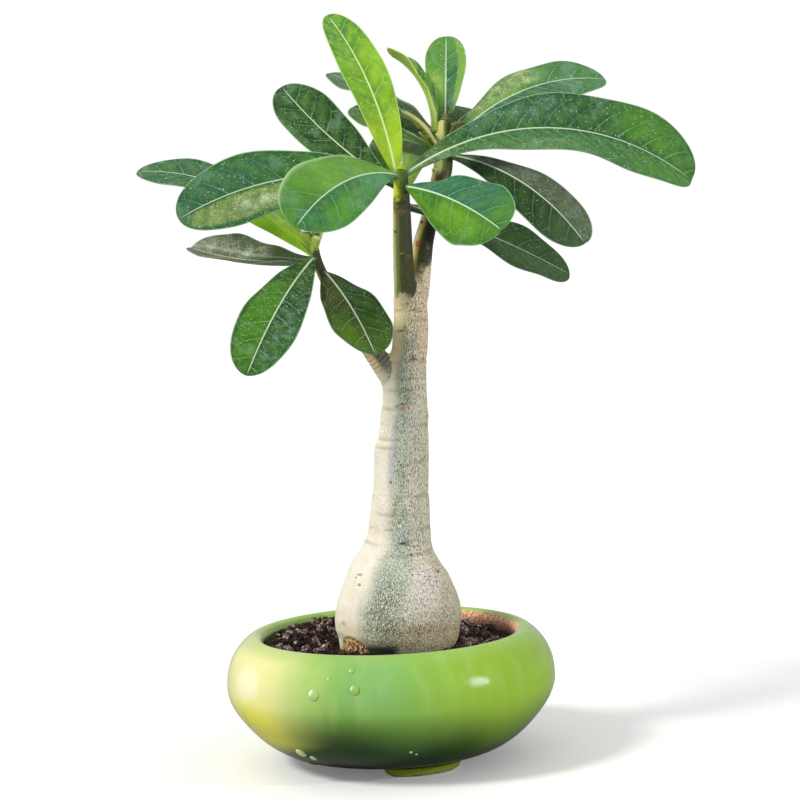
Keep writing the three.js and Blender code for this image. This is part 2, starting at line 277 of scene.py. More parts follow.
def grown(name, tree, values, mesh=None):
    """Runs a geometry tree with its inputs set by identifier, and returns its plain mesh."""
    def add_tree(carrier):
        modifier = carrier.modifiers.new("tree", "NODES")
        modifier.node_group = tree
        for item in tree.interface.items_tree:
            if item.in_out == "INPUT" and item.name in values:
                modifier[item.identifier] = values[item.name]

    return through_modifiers(name, mesh or bpy.data.meshes.new(name), add_tree)


def face_outwards(mesh, weld=False):
    """Welds doubled points, where asked, and turns every face outwards."""
    body = bmesh.new()
    body.from_mesh(mesh)
    if weld:
        bmesh.ops.remove_doubles(body, verts=body.verts, dist=WELD)
    bmesh.ops.recalc_face_normals(body, faces=body.faces)
    body.to_mesh(mesh)
    body.free()


def finish_piece(name, mesh, replaced=(), material=None, smooth=True):
    """Welds and turns a mesh right side out, and makes it a piece of the object."""
    face_outwards(mesh, weld=True)
    if material:
        mesh.materials.clear()
        mesh.materials.append(material)
    if smooth:
        mesh.shade_smooth()
    else:
        mesh.shade_flat()
    made = bpy.data.objects.new(name, mesh)
    bpy.context.scene.collection.objects.link(made)
    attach(made, "root")
    if replaced:
        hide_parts(*replaced)
    print(name, "has", sum(len(face.vertices) - 2 for face in mesh.polygons), "triangles")


print("the picked colour 8cba3f is", [round(v, 3) for v in shade("8cba3f")], "in linear light")

# %% [markdown]
# ## Floor and sky
# The plant stands in front of plain white. The floor is so wide that its edge is never seen, and it is
# lit so evenly that floor and sky meet without a line. Both look white to the camera but light the plant
# less, which keeps the leaves' shaded sides and the belly of the bowl deep. A Light Path node tells the
# camera's own rays from the others.
# %% Lay the floor and hang the sky
FLOOR_HALF = 60.0
FLOOR_GLOW = 0.14
FLOOR_BOUNCE = 0.4
SKY_SEEN = 1.0
SKY_LIGHT = 0.62


def simple_material(name, colour, roughness):
    """A new material and its Principled shader, with plain starting values."""
    material = bpy.data.materials.new(name)
    material.use_nodes = True
    surface = material.node_tree.nodes["Principled BSDF"]
    surface.inputs["Base Color"].default_value = colour
    surface.inputs["Roughness"].default_value = roughness
    return material, material.node_tree, surface


floor_mesh = bpy.data.meshes.new("floor")
corners = [(x * FLOOR_HALF, y * FLOOR_HALF, 0) for x, y in ((-1, -1), (1, -1), (1, 1), (-1, 1))]
floor_mesh.from_pydata(corners, [], [(0, 1, 2, 3)])
floor = bpy.data.objects.new("floor", floor_mesh)
floor_finish, floor_tree, floor_surface = simple_material("pale_floor", (0.9, 0.9, 0.9, 1), 0.9)
floor_surface.inputs["Emission Color"].default_value = (1, 1, 1, 1)
floor_surface.inputs["Emission Strength"].default_value = FLOOR_GLOW
bounce_shade = (FLOOR_BOUNCE, FLOOR_BOUNCE, FLOOR_BOUNCE, 1)
floor_bounce = node(floor_tree, "ShaderNodeBsdfDiffuse", {"Color": bounce_shade})
floor_seen = node(floor_tree, "ShaderNodeLightPath").outputs["Is Camera Ray"]
floor_mix = node(floor_tree, "ShaderNodeMixShader", {
    0: floor_seen, 1: floor_bounce.outputs[0], 2: floor_surface.outputs[0]})
plug(floor_tree, floor_mix.outputs[0], floor_tree.nodes["Material Output"].inputs["Surface"])
floor_mesh.materials.append(floor_finish)
bpy.context.scene.collection.objects.link(floor)

world = bpy.data.worlds.new("white_sky")
world.use_nodes = True
bpy.context.scene.world = world
sky = world.node_tree.nodes["Background"]
sky.inputs["Color"].default_value = (1.0, 1.0, 1.0, 1)
seen = Number(world.node_tree, node(world.node_tree, "ShaderNodeLightPath").outputs["Is Camera Ray"])
plug(world.node_tree, seen * (SKY_SEEN - SKY_LIGHT) + SKY_LIGHT, sky.inputs["Strength"])
print("a floor of", 2 * FLOOR_HALF, "m lies under a sky of strength", SKY_LIGHT)

# %% [markdown]
# ## Two lamps
# The light falls from the upper left as through a wide window. A panel could give it, but it would light
# the near floor more than the far one, so it is a sun with a wide disc, kept out of the glaze's mirror.
# A small panel on the right leaves the one bright spot on the glaze.
# %% Hang the lamps
KEY_AZIMUTH = -150
KEY_HEIGHT = 42
KEY_POWER = 2.2
KEY_DISC = math.radians(14)
KEY_TONE = (1.0, 0.98, 0.93)
PANEL_AZIMUTH = -27
PANEL_HEIGHT = 15
PANEL_AWAY = 1.1
PANEL_POWER = 3.1
PANEL_SIZE = (0.038, 0.062)


def hang_light(kind, place, target, power, size, mirrored=True):
    """A lamp at a place, facing a target. A sun's size is an angle, a panel's its width and height."""
    data = bpy.data.lights.new(kind.lower() + "_light", kind)
    data.energy = power
    if kind == "SUN":
        data.angle = size
    else:
        data.shape = "RECTANGLE"
        data.size, data.size_y = size
    lamp = bpy.data.objects.new(data.name, data)
    aim = (target - place).to_track_quat("-Z", "Y").to_matrix().to_4x4()
    lamp.matrix_world = Matrix.Translation(place) @ aim
    lamp.visible_glossy = mirrored
    bpy.context.scene.collection.objects.link(lamp)
    return data


def direction(azimuth, height):
    """The way to a light, from its azimuth and height in degrees."""
    turn = math.radians(azimuth)
    rise = math.radians(height)
    return Vector((math.cos(turn) * math.cos(rise), math.sin(turn) * math.cos(rise), math.sin(rise)))


middle = at(0, 0, 100)
key_place = middle + direction(KEY_AZIMUTH, KEY_HEIGHT)
key = hang_light("SUN", key_place, middle, KEY_POWER, KEY_DISC, mirrored=False)
key.color = KEY_TONE
panel_place = middle + direction(PANEL_AZIMUTH, PANEL_HEIGHT) * PANEL_AWAY
hang_light("AREA", panel_place, middle, PANEL_POWER, PANEL_SIZE)
print("lamps:", [lamp.name for lamp in bpy.data.lights])

# %% [markdown]
# ## Effects that several finishes share
# Glaze, bark, soil and leaves all have soft patches and fine grain, the leaves carry pale specks of
# dried hard water, and the glaze has a few small scratches. Each effect is one shader group that puts
# out a mask, so every finish can use it at its own scale without repeating the nodes.
# %% Build the shared shader groups
def patches_group():
    """Soft patches: noise stretched along Z and sharpened to a mask."""
    tree, given, leave = new_group("soft_patches", "ShaderNodeTree", {
        "Place": (VECTOR, None), "Scale": (FLOAT, 40), "Stretch": (FLOAT, 1), "Low": (FLOAT, 0.4),
        "High": (FLOAT, 0.6), "Detail": (FLOAT, 3)}, {"Mask": FLOAT})
    x, y, z = parts(tree, given["Place"])
    place = joined(tree, x, y, z / given["Stretch"])
    noise = node(tree, "ShaderNodeTexNoise", {
        "Vector": place, "Scale": given["Scale"], "Detail": given["Detail"]})
    mask = node(tree, "ShaderNodeMapRange", {
        0: noise.outputs[0], 1: given["Low"], 2: given["High"]}, interpolation_type="SMOOTHSTEP")
    plug(tree, mask.outputs[0], leave.inputs["Mask"])
    return tree


def specks_group():
    """Ragged specks: the middles of random cells, sized and thinned out by each cell's random number."""
    tree, given, leave = new_group("specks", "ShaderNodeTree", {
        "Place": (VECTOR, None), "Scale": (FLOAT, 400), "Size": (FLOAT, 0.25),
        "Share": (FLOAT, 0.3)}, {"Mask": FLOAT})
    x, y, z = parts(tree, given["Place"])
    ripple = node(tree, "ShaderNodeTexNoise", {
        "Vector": given["Place"], "Scale": given["Scale"] * 2.4, "Detail": 1.0})
    push = (Number(tree, ripple.outputs[0]) - 0.5) * 0.9 / given["Scale"]
    place = joined(tree, x + push, y - push, z + push)
    cells = node(tree, "ShaderNodeTexVoronoi", {"Vector": place, "Scale": given["Scale"]})
    chosen = Number(tree, node(tree, "ShaderNodeSeparateColor", {0: cells.outputs["Color"]}).outputs[0])
    grown_size = given["Size"] * (0.5 + chosen)
    disc = climb(Number(tree, cells.outputs["Distance"]) / grown_size, 1.0, 0.6)
    plug(tree, disc * chosen.below(given["Share"]), leave.inputs["Mask"])
    return tree


SOFT_PATCHES = patches_group()
SPECKS = specks_group()


def effect(tree, group, **inputs):
    """Places a shader group and returns its outputs as numbers."""
    made = tree.nodes.new("ShaderNodeGroup")
    made.node_tree = group
    for name, value in inputs.items():
        plug(tree, value, made.inputs[name])
    return [Number(tree, output) for output in made.outputs]


def patches(tree, place, scale, low, high, stretch=1, detail=3):
    """Soft patches as a mask, finer with the scale: 0 where the noise is below low, 1 above high."""
    mask, = effect(tree, SOFT_PATCHES, Place=place, Scale=scale, Stretch=stretch, Low=low, High=high,
                   Detail=detail)
    return mask


def zone(value, low, high, soft):
    """1 where a number lies between two bounds, with soft edges."""
    return climb(value, low - soft, low + soft) * climb(value, high + soft, high - soft)


def tinted(tree, amount, first, second):
    """The first colour turning into the second as the amount goes from 0 to 1. A text is a colour code."""
    first, second = [shade(colour) if isinstance(colour, str) else colour for colour in (first, second)]
    mix = node(tree, "ShaderNodeMix", {0: amount, 6: first, 7: second}, data_type="RGBA")
    return mix.outputs[2]


def bumped(tree, surface, height, distance, strength=1.0):
    """Ripples the surface by a height mask, where 1 stands as high as the distance in metres."""
    bump = node(tree, "ShaderNodeBump", {"Height": height, "Distance": distance, "Strength": strength})
    plug(tree, bump.outputs[0], surface.inputs["Normal"])


def object_place(tree):
    """The object coordinates, and the numbers x, y and z in them from the bowl's middle."""
    place = node(tree, "ShaderNodeTexCoord").outputs["Object"]
    shifted = node(tree, "ShaderNodeMapping", {"Vector": place, "Location": -bowl_middle}).outputs[0]
    return shifted, parts(tree, shifted)


print("shared effects:", [group.name for group in bpy.data.node_groups])

# %% [markdown]
# ## The bowl
# The bowl was thrown on a wheel, so its wall is one outline turned round the axis: out from the drain
# hole, under the belly, over the rolled rim and down inside. Three low feet were pressed on below. The
# outline here has the same points as the solid's, taken more finely, and the feet are fused to it.
# %% Turn the bowl and fuse its feet
BOWL_OUTSIDE = [
    (38, 4.2), (47, 6.2), (55, 11), (61.5, 17.3), (67, 24.5), (69.6, 30.5), (70, 35.5), (69.2, 41.5),
    (67, 47), (63.5, 51.6), (59.8, 54.6), (57.2, 55.2)]
BOWL_INSIDE = [(55, 54.2), (54, 51.8), (55.5, 48), (60, 42), (62.5, 34), (60, 24), (52, 14), (40, 9.5)]
DRAIN_RADIUS = 6
BOWL_UNDERSIDE = 4.2
BOWL_FLOOR = 9.5
WOBBLE = 0.0022
FOOT_AZIMUTHS = (-68, 52, 172)
FOOT_DISTANCE = 31
FOOT_OUTLINE = [(0, 0.8), (0.8, 0.88), (2.2, 0.93), (4, 1.0), (7.5, 1.2)]
FOOT_HALF_DEPTH = 9
FOOT_HALF_LENGTH = 18


def through(stations, count):
    """A smooth run of points through the stations."""
    given = np.array(stations, float)
    padded = np.vstack([2 * given[0] - given[1], given, 2 * given[-1] - given[-2]])
    run = []
    for k in range(count + 1):
        along = k / count * (len(given) - 1)
        i = min(int(along), len(given) - 2)
        t = along - i
        a, b, c, d = padded[i:i + 4]
        run.append(0.5 * (2 * b + (c - a) * t + (2 * a - 5 * b + 4 * c - d) * t * t
                          + (3 * b - a - 3 * c + d) * t ** 3))
    return np.array(run)


def turned(outline, sides):
    """A closed outline of r and z turned round the axis, with the slight wobble of a hand-thrown wall."""
    points = []
    faces = []
    for i in range(sides):
        angle = 2 * math.pi * i / sides
        for r, z in outline:
            wobble = 1 + WOBBLE * math.sin(2 * angle + 0.6) * min(1, max(0, (r - 40) / 15))
            points.append((r * wobble * math.cos(angle), r * wobble * math.sin(angle), z))
    count = len(outline)
    for i in range(sides):
        j = (i + 1) % sides
        for k in range(count):
            m = (k + 1) % count
            faces.append((i * count + k, j * count + k, j * count + m, i * count + m))
    return points, faces


def foot(azimuth):
    """A low oval foot, widening up into the underside."""
    turn = math.radians(azimuth)
    rings = []
    for z, spread in through(FOOT_OUTLINE, 14):
        ring = []
        for i in range(48):
            angle = 2 * math.pi * i / 48
            out = FOOT_DISTANCE + FOOT_HALF_DEPTH * spread * math.cos(angle)
            along = FOOT_HALF_LENGTH * spread * math.sin(angle)
            x = out * math.cos(turn) - along * math.sin(turn)
            ring.append((x, out * math.sin(turn) + along * math.cos(turn), z))
        rings.append(ring)
    return shell(rings)


outline = [(DRAIN_RADIUS, BOWL_UNDERSIDE), *through(BOWL_OUTSIDE, 60)]
outline += [*through(BOWL_INSIDE, 40), (DRAIN_RADIUS, BOWL_FLOOR)]
bowl_mesh = mesh_of("bowl", turned(outline, 144))
feet_mesh = mesh_of("feet", *[foot(azimuth) for azimuth in FOOT_AZIMUTHS])


def fuse_feet(carrier):
    """Fuses the three feet to the bowl's underside."""
    feet = bpy.data.objects.new("feet", feet_mesh)
    bpy.context.scene.collection.objects.link(feet)
    modifier = carrier.modifiers.new("fuse", "BOOLEAN")
    modifier.operation = "UNION"
    modifier.solver = "EXACT"
    modifier.object = feet


for mesh in (bowl_mesh, feet_mesh):
    face_outwards(mesh)
bowl_mesh = through_modifiers("bowl", bowl_mesh, fuse_feet)
bpy.data.objects.remove(bpy.data.objects["feet"])
print("the bowl has", len(bowl_mesh.polygons), "faces with its feet on")

# %% [markdown]
# ## The tones of the glaze
# The glaze is a glossy yellow-green, bluish left of the front and lime on the right. Light and shade are
# painted into it too: pale cream and warm yellow where sunlight falls on the left, with a near-white
# painted highlight, and dark olive painted shade under the belly. A picture could be wrapped round the
# bowl, but here each tone is a zone of the angle round the bowl and of the height, so it can be moved by
# one number. The front is at minus half pi, the left side at minus pi, and heights are in metres.
# %% Lay the tones round the bowl
def glaze_tones(tree, place, angle, z):
    """The glaze's colour from the angle round the bowl in radians and the height in metres."""
    cloud = patches(tree, place, 28, 0.3, 0.7, stretch=2.5)
    wisp = patches(tree, place, 120, 0.45, 0.75, stretch=6)
    shifted = angle + (cloud - 0.5) * 0.1
    behind = climb(shifted, -3.5, -4.4)
    sunlit_left = climb(shifted + climb(z, 0.019, 0.009) * 0.42, -1.98, -2.6) * (1 - behind)
    right_side = climb(shifted, -1.3, -0.6).at_least(behind)

    # green in front, lime on the right, paler and then cream on the left; the cream is partly painted
    # sunlight
    body = tinted(tree, climb(shifted, -1.55, -0.85).at_least(behind), "85b850", "93b935")
    body = tinted(tree, climb(shifted, -1.85, -2.2) * (1 - behind), body, "a2c86a")
    cream = climb(shifted, -1.95, -2.5) * climb(shifted, -3.6, -2.9)
    body = tinted(tree, cream, body, "e8e69e")
    # painted highlight: a soft near-white spot on the left for the gleam of a window on the glaze
    thin = climb(((shifted + 2.62) * 5.5) ** 2 + ((z - 0.041) * 110) ** 2, 1.0, 0.0)
    body = tinted(tree, thin * 0.6, body, "fffbe0")
    blue = climb(shifted, -2.1, -1.85) * climb(shifted, -1.35, -1.65) * climb(z, 0.028, 0.04)
    body = tinted(tree, blue * 0.5, body, "84b778")

    # painted shade under the belly, darkest at the very bottom, with a painted shadow low at the left front,
    # and painted sunlight that turns the lower left yellow
    fold = climb(shifted, -1.2, -2.2) * (1 - behind) * 0.004
    belly = climb(z + cloud * 0.003 + right_side * 0.005 - fold, 0.037, 0.013) * (1 - sunlit_left * 0.85)
    body = tinted(tree, belly, body, tinted(tree, right_side, "1c4200", "3e5c00"))
    sunlit_low_left = sunlit_left * climb(z + cloud * 0.004, 0.041, 0.026)
    body = tinted(tree, sunlit_low_left * 0.9, body, "efef3a")
    body = tinted(tree, sunlit_low_left * wisp * 0.5, body, "a8b428")
    underside = climb(z, 0.014, 0.006) * 0.9 * (1 - sunlit_left * 0.5)
    body = tinted(tree, underside, body, "0f1a02")
    painted_shadow_under_left = climb(shifted, -1.65, -1.85) * (1 - behind) * climb(z, 0.0092, 0.0062)
    body = tinted(tree, painted_shadow_under_left, body, "120604")

    # even green on the rim, a brighter band on the right, throwing wisps and a few small scratches
    body = tinted(tree, climb(z, 0.05, 0.0545) * 0.5, body, "98be60")
    bright = zone(shifted, -1.25, -0.25, 0.2) * zone(z, 0.03, 0.046, 0.006)
    body = tinted(tree, bright * 0.5, body, "a6d23c")
    body = tinted(tree, wisp * 0.14 * climb(z, 0.022, 0.032), body, "d9e7a0")
    scratches, = effect(tree, SPECKS, Place=place, Scale=330, Size=0.18, Share=0.05)
    return tinted(tree, scratches * 0.5, body, "4f7a22")


print("the front is at angle", round(-math.pi / 2, 2), "and the left side at", round(-math.pi, 2))

# %% [markdown]
# ## Bare clay and the finished glaze
# Clay shows bare where the glaze was wiped off: on the feet's edges and on the right of the inside wall,
# above the soil. The glaze itself is nearly a mirror, broken by faint throwing lines and soft dimples.
# %% Mix the glaze
GLAZE_ROUGHNESS = 0.045
CLAY_ROUGHNESS = 0.645
GLAZE_MIRROR = 0.3


def glaze_material():
    """Glaze with painted light and shade, with bare clay inside the rim and on the feet's edges."""
    material, tree, surface = simple_material("green_glaze", shade("8cba3f"), GLAZE_ROUGHNESS)
    place, (x, y, z) = object_place(tree)
    angle = x.math("ARCTAN2", y * -1) - math.pi / 2
    radius = (x * x + y * y) ** 0.5
    body = glaze_tones(tree, place, angle, z)

    inside = climb(radius, 0.0575, 0.056) * climb(z, 0.0552, 0.0532) * climb(z, 0.02, 0.025)
    inside = inside * climb(x, -0.012, 0.012)
    grain = patches(tree, place, 900, 0.35, 0.65)
    body = tinted(tree, inside, body, tinted(tree, grain, "e08050", "ffe4cc"))
    foot_side = climb(z, 0.0042, 0.003) * climb(radius, 0.052, 0.048)
    body = tinted(tree, foot_side, body, tinted(tree, grain * 0.4, "8cae32", "aaa850"))
    foot_edge = climb(z, 0.0013, 0.0006)
    body = tinted(tree, foot_edge, body, tinted(tree, grain, "8a6a48", "d8c49c"))
    plug(tree, body, surface.inputs["Base Color"])

    bare = inside.at_least(foot_edge)
    roughness = bare * (CLAY_ROUGHNESS - GLAZE_ROUGHNESS) + GLAZE_ROUGHNESS
    plug(tree, roughness, surface.inputs["Roughness"])
    lines = patches(tree, place, 700, 0.3, 0.7, stretch=0.06)
    dimples = patches(tree, place, 160, 0.2, 0.8)
    bumped(tree, surface, lines * 0.05 + dimples * 0.25 + bare * grain * 0.6, 0.0004, 0.35)
    surface.inputs["Specular IOR Level"].default_value = GLAZE_MIRROR
    return material


finish_piece("bowl", bowl_mesh, ["pot"], glaze_material())

# %% [markdown]
# ## Water beads on the glaze
# A few drops sit on the belly. They are flattened domes that stand on the wall, so each is an instance
# of one small ball, turned to the wall's own direction. The tree reads the direction and the size of
# each bead from the points that carry them.
# %% Set the beads on the belly
BEADS = [
    # azimuth round the bowl, height and size, in degrees and millimetres
    (-116.8, 41.2, 4.4), (-102.3, 43.6, 3.8), (-130.8, 13.8, 4.6), (-126.5, 11.6, 3.0), (-104, 50.4, 2.2),
    (-83.7, 15.9, 1.6), (-81.5, 14.6, 1.2), (-112, 47.5, 1.4), (20, 40, 3.6), (95, 38, 4.0), (160, 43, 3.4),
]
BEAD_STANDS_OUT = 0.04
BEAD_FLATNESS = 0.42


def stud_tree():
    """A flattened ball on every point, standing out from what carries it."""
    tree, given, leave = new_group("studs", "GeometryNodeTree", {
        "Geometry": (SHAPE, None), "Flatness": (FLOAT, BEAD_FLATNESS), "Finish": (FINISH, None)}, {
        "Geometry": SHAPE})
    ball = node(tree, "GeometryNodeMeshUVSphere", {"Segments": 20, "Rings": 12, "Radius": 0.5})
    wide = node(tree, "GeometryNodeInputNamedAttribute", {"Name": "stud_size"}, data_type="FLOAT")
    facing = node(tree, "GeometryNodeInputNamedAttribute", {"Name": "stud_facing"}, data_type="FLOAT_VECTOR")
    turn = node(tree, "FunctionNodeAlignRotationToVector", {"Vector": facing.outputs[0]}, axis="Z")
    width = Number(tree, wide.outputs[0])
    placed = node(tree, "GeometryNodeInstanceOnPoints", {
        "Points": given["Geometry"], "Instance": ball.outputs["Mesh"], "Rotation": turn.outputs[0],
        "Scale": joined(tree, width, width * 1.08, width * given["Flatness"])})
    real = node(tree, "GeometryNodeRealizeInstances", {0: placed.outputs[0]})
    done = node(tree, "GeometryNodeSetMaterial", {"Geometry": real.outputs[0], "Material": given["Finish"]})
    plug(tree, done.outputs[0], leave.inputs[0])
    return tree


def studded_points(name, places, facings, sizes):
    """Points that carry a size and a direction for the studs on them."""
    mesh = bpy.data.meshes.new(name)
    mesh.from_pydata(places, [], [])
    mesh.attributes.new("stud_size", "FLOAT", "POINT").data.foreach_set("value", sizes)
    directions = mesh.attributes.new("stud_facing", "FLOAT_VECTOR", "POINT")
    directions.data.foreach_set("vector", np.array(facings, np.float32).ravel())
    return mesh


def bead_points():
    """Points on the belly with the wall's direction and the bead's size."""
    belly = through(BOWL_OUTSIDE, 240)
    places = []
    facings = []
    for azimuth, height, size in BEADS:
        k = int(np.argmin(abs(belly[:, 1] - height)))
        slope = belly[min(k + 1, len(belly) - 1)] - belly[max(k - 1, 0)]
        turn = math.radians(azimuth)
        out = Vector((slope[1] * math.cos(turn), slope[1] * math.sin(turn), -slope[0])).normalized()
        on_wall = at(belly[k, 0] * math.cos(turn), belly[k, 0] * math.sin(turn), height)
        places.append(on_wall + out * size * BEAD_STANDS_OUT * MM)
        facings.append(out)
    return studded_points("bead_points", places, facings, [size * MM for _, _, size in BEADS])


def attribute(tree, name):
    """A number that the mesh carries at every point."""
    read = node(tree, "ShaderNodeAttribute", attribute_name=name, attribute_type="GEOMETRY")
    return Number(tree, read.outputs["Fac"])


def mark_facing(mesh, name, way, low, high):
    """Keeps how far each point of a mesh faces one way, as a number from 0 to 1."""
    facing = np.array([vertex.normal.dot(Vector(way).normalized()) for vertex in mesh.vertices])
    amount = np.clip((facing - low) / (high - low), 0, 1).astype(np.float32)
    mesh.attributes.new(name, "FLOAT", "POINT").data.foreach_set("value", amount)


def bead_material():
    """Clear water, a little lighter than the wall, with painted light: paler on the left, a glint, a lit rim.
    """
    material, tree, surface = simple_material("water_bead", shade("a9cf6a"), 0.03)
    _, (x, _, _) = object_place(tree)
    body = tinted(tree, climb(x, -0.045, 0.0), "b4d27a", "86b440")
    body = tinted(tree, attribute(tree, "painted_lit_rim") * 0.8, body, "e6f4b4")
    body = tinted(tree, attribute(tree, "glint"), body, "ffffff")
    plug(tree, body, surface.inputs["Base Color"])
    surface.inputs["Coat Weight"].default_value = 1.0
    surface.inputs["Coat Roughness"].default_value = 0.02
    return material


STUDS = stud_tree()
bead_inputs = {"Flatness": BEAD_FLATNESS, "Finish": bead_material()}
beads = grown("water_beads", STUDS, bead_inputs, bead_points())
# painted light on the beads: a white glint towards the upper left and a lit rim below
mark_facing(beads, "glint", (-0.75, -0.5, 0.45), 0.9, 0.97)
mark_facing(beads, "painted_lit_rim", (0.1, -0.45, -0.9), 0.55, 0.9)
finish_piece("water_beads", beads)

# %% [markdown]
# ## The soil
# The bowl is filled to under its rim with dark bark mix, banked up a little at the back left. The bed
# is a closed body with a finely rippled top. Its level follows the same formula as the solid's, so the
# crumbs that are strewn next will lie at the right height.
# %% Fill the bowl
SOIL_TOP = 48
SOIL_FLOOR = 9.9
SOIL_RADIUS = 53.2
CAUDEX_MIDDLE = (3.2, 0)
CAUDEX_GIRTH = 24.6
STREWN_FROM = 24


def soil_height(x, y):
    """The level of the soil at a place in the bowl."""
    bank = 4.6 * np.clip((y - 0.6 * x - 10) / 40, 0, 1)
    slow = 0.9 * np.sin(0.11 * x + 0.4) * np.cos(0.13 * y - 0.7)
    quick = 0.5 * np.sin(0.37 * x + 1.1) * np.sin(0.41 * y + 0.3)
    return SOIL_TOP + bank + slow + quick


def soil_ring(radius, height, sides=160):
    """A ring round the bowl's axis, whose height is a number or a function of the place."""
    ring = []
    for i in range(sides):
        x = radius * math.cos(2 * math.pi * i / sides)
        y = radius * math.sin(2 * math.pi * i / sides)
        ring.append((x, y, height(x, y) if callable(height) else height))
    return ring


def rippled(x, y):
    """Soil level with the lumps of single bark pieces."""
    lumps = math.sin(1.3 * x + 2 * math.sin(0.9 * y)) * math.sin(1.1 * y + 1.7 * math.sin(1.2 * x))
    return float(soil_height(x, y)) - 0.4 + 0.35 * lumps


wall = [(r - 1.2, z) for r, z in through(BOWL_INSIDE, 9)[::-1][1:] if z < SOIL_TOP - 5]
soil_rings = [soil_ring(r, z) for r, z in ((2, SOIL_FLOOR), (39, SOIL_FLOOR), *wall)]
soil_rings.append(soil_ring(SOIL_RADIUS + 0.8, lambda x, y: rippled(x, y) - 3.2))
soil_rings += [soil_ring(r, rippled) for r in np.linspace(SOIL_RADIUS, 0.5, 70)]
soil_mesh = mesh_of("soil_bed", shell(soil_rings))


def soil_material(name, dark, light, grain=700):
    """Damp bark mix: dark ground with reddish and pale grains in it."""
    material, tree, surface = simple_material(name, shade(dark), 0.85)
    place, _ = object_place(tree)
    patch = patches(tree, place, 130, 0.35, 0.65)
    fine = patches(tree, place, grain, 0.45, 0.7, detail=6)
    body = tinted(tree, patch * 0.3, dark, "2e1c15")
    body = tinted(tree, fine * 0.8, body, light)
    plug(tree, body, surface.inputs["Base Color"])
    bumped(tree, surface, fine, 0.0006, 0.8)
    return material


damp_mix = soil_material("damp_mix", "0c0806", "3a2820")
finish_piece("soil_bed", soil_mesh, ["soil"], damp_mix)

# %% [markdown]
# ## Crumbs, bark and pale grit strewn on the soil
# What catches the eye in the bowl is not the bed but what lies on it: dark crumbs, pinkish bark slivers
# and pale grit. One tree strews any of them. It spreads points with a least gap, puts a lumpy ball on
# each, turns and sizes it at random from a fixed seed, and roughens the balls after they are real, so
# no two are alike.
# %% Write the strewing tree
def strewing_tree():
    """Random lumpy pieces on a surface, sized, turned and roughened by a fixed seed."""
    tree, given, leave = new_group("strewn_pieces", "GeometryNodeTree", {
        "Geometry": (SHAPE, None), "Gap": (FLOAT, 0.003), "Density": (FLOAT, 9e4),
        "Smallest": (FLOAT, 0.001), "Largest": (FLOAT, 0.002), "Length": (FLOAT, 1),
        "Thickness": (FLOAT, 0.8), "Tilt": (FLOAT, 0.5), "Roughness": (FLOAT, 0.4), "Lift": (FLOAT, 0),
        "Seed": (WHOLE, 1), "Finish": (FINISH, None)}, {"Geometry": SHAPE})
    spread = node(tree, "GeometryNodeDistributePointsOnFaces", {
        "Mesh": given["Geometry"], "Distance Min": given["Gap"], "Density Max": given["Density"],
        "Seed": given["Seed"]}, distribute_method="POISSON")
    ball = node(tree, "GeometryNodeMeshUVSphere", {"Segments": 7, "Rings": 5, "Radius": 1.0})
    size = node(tree, "FunctionNodeRandomValue", {
        2: given["Smallest"], 3: given["Largest"], "Seed": given["Seed"]}, data_type="FLOAT")
    tip_over = given["Tilt"]
    lowest = joined(tree, tip_over * -1, tip_over * -1, -math.pi)
    highest = joined(tree, tip_over, tip_over, math.pi)
    turn = node(tree, "FunctionNodeRandomValue", {
        0: lowest, 1: highest, "Seed": given["Seed"] + 7}, data_type="FLOAT_VECTOR")
    width = Number(tree, size.outputs[1])
    placed = node(tree, "GeometryNodeInstanceOnPoints", {
        "Points": spread.outputs["Points"], "Instance": ball.outputs["Mesh"], "Rotation": turn.outputs[0],
        "Scale": joined(tree, width * given["Length"], width, width * given["Thickness"])})
    real = node(tree, "GeometryNodeRealizeInstances", {0: placed.outputs[0]})
    place = node(tree, "GeometryNodeInputPosition").outputs[0]
    noise = node(tree, "ShaderNodeTexNoise", {"Vector": place, "Scale": 650.0, "Detail": 1.0})
    out = parts(tree, node(tree, "GeometryNodeInputNormal").outputs[0])
    push = (Number(tree, noise.outputs[0]) - 0.5) * given["Roughness"] * given["Largest"]
    shift = joined(tree, out[0] * push, out[1] * push, out[2] * push + given["Lift"])
    rough = node(tree, "GeometryNodeSetPosition", {"Geometry": real.outputs[0], "Offset": shift})
    done = node(tree, "GeometryNodeSetMaterial", {
        "Geometry": rough.outputs[0], "Material": given["Finish"]})
    plug(tree, done.outputs[0], leave.inputs[0])
    return tree


def soil_patch(name, keep, sides=96):
    """The part of the soil's top where a rule on the place holds, clear of the caudex and the wall."""
    points = []
    faces = []
    radii = np.linspace(STREWN_FROM, SOIL_RADIUS - 1.6, 12)
    for r in radii:
        for i in range(sides):
            x = r * math.cos(2 * math.pi * i / sides)
            y = r * math.sin(2 * math.pi * i / sides)
            points.append((x, y, float(soil_height(x, y))))
    for k in range(len(radii) - 1):
        for i in range(sides):
            j = (i + 1) % sides
            x, y, _ = points[k * sides + i]
            clear = math.hypot(x - CAUDEX_MIDDLE[0], y - CAUDEX_MIDDLE[1]) > CAUDEX_GIRTH
            if clear and keep(x, y):
                faces.append((k * sides + i, (k + 1) * sides + i, (k + 1) * sides + j, k * sides + j))
    return mesh_of(name, (points, faces))


STREWN = strewing_tree()
print("the strewing tree has", len(STREWN.nodes), "nodes")

# %% [markdown]
# ## What lies where
# The crumbs cover the whole bed, the bark slivers are fewer and longer, and the pale grit lies mostly at
# the back left and on the right, where the picture shows it. Each kind is one run of the tree with its
# own sizes in metres and its own seed.
# %% Strew the soil
def strew(name, keep, values, material):
    """Strews one kind of piece on part of the soil."""
    mesh = grown(name, STREWN, {**values, "Finish": material}, soil_patch(name + "_bed", keep))
    finish_piece(name, mesh, smooth=False)


def anywhere(x, y):
    """Every place of the bed."""
    return True


def pale_side(x, y):
    """The back left and the sides of the bed, where the pale grit lies."""
    return (y > 0.25 * x + 8 and x < 0) or x > 30 or (x < -28 and y > -22)


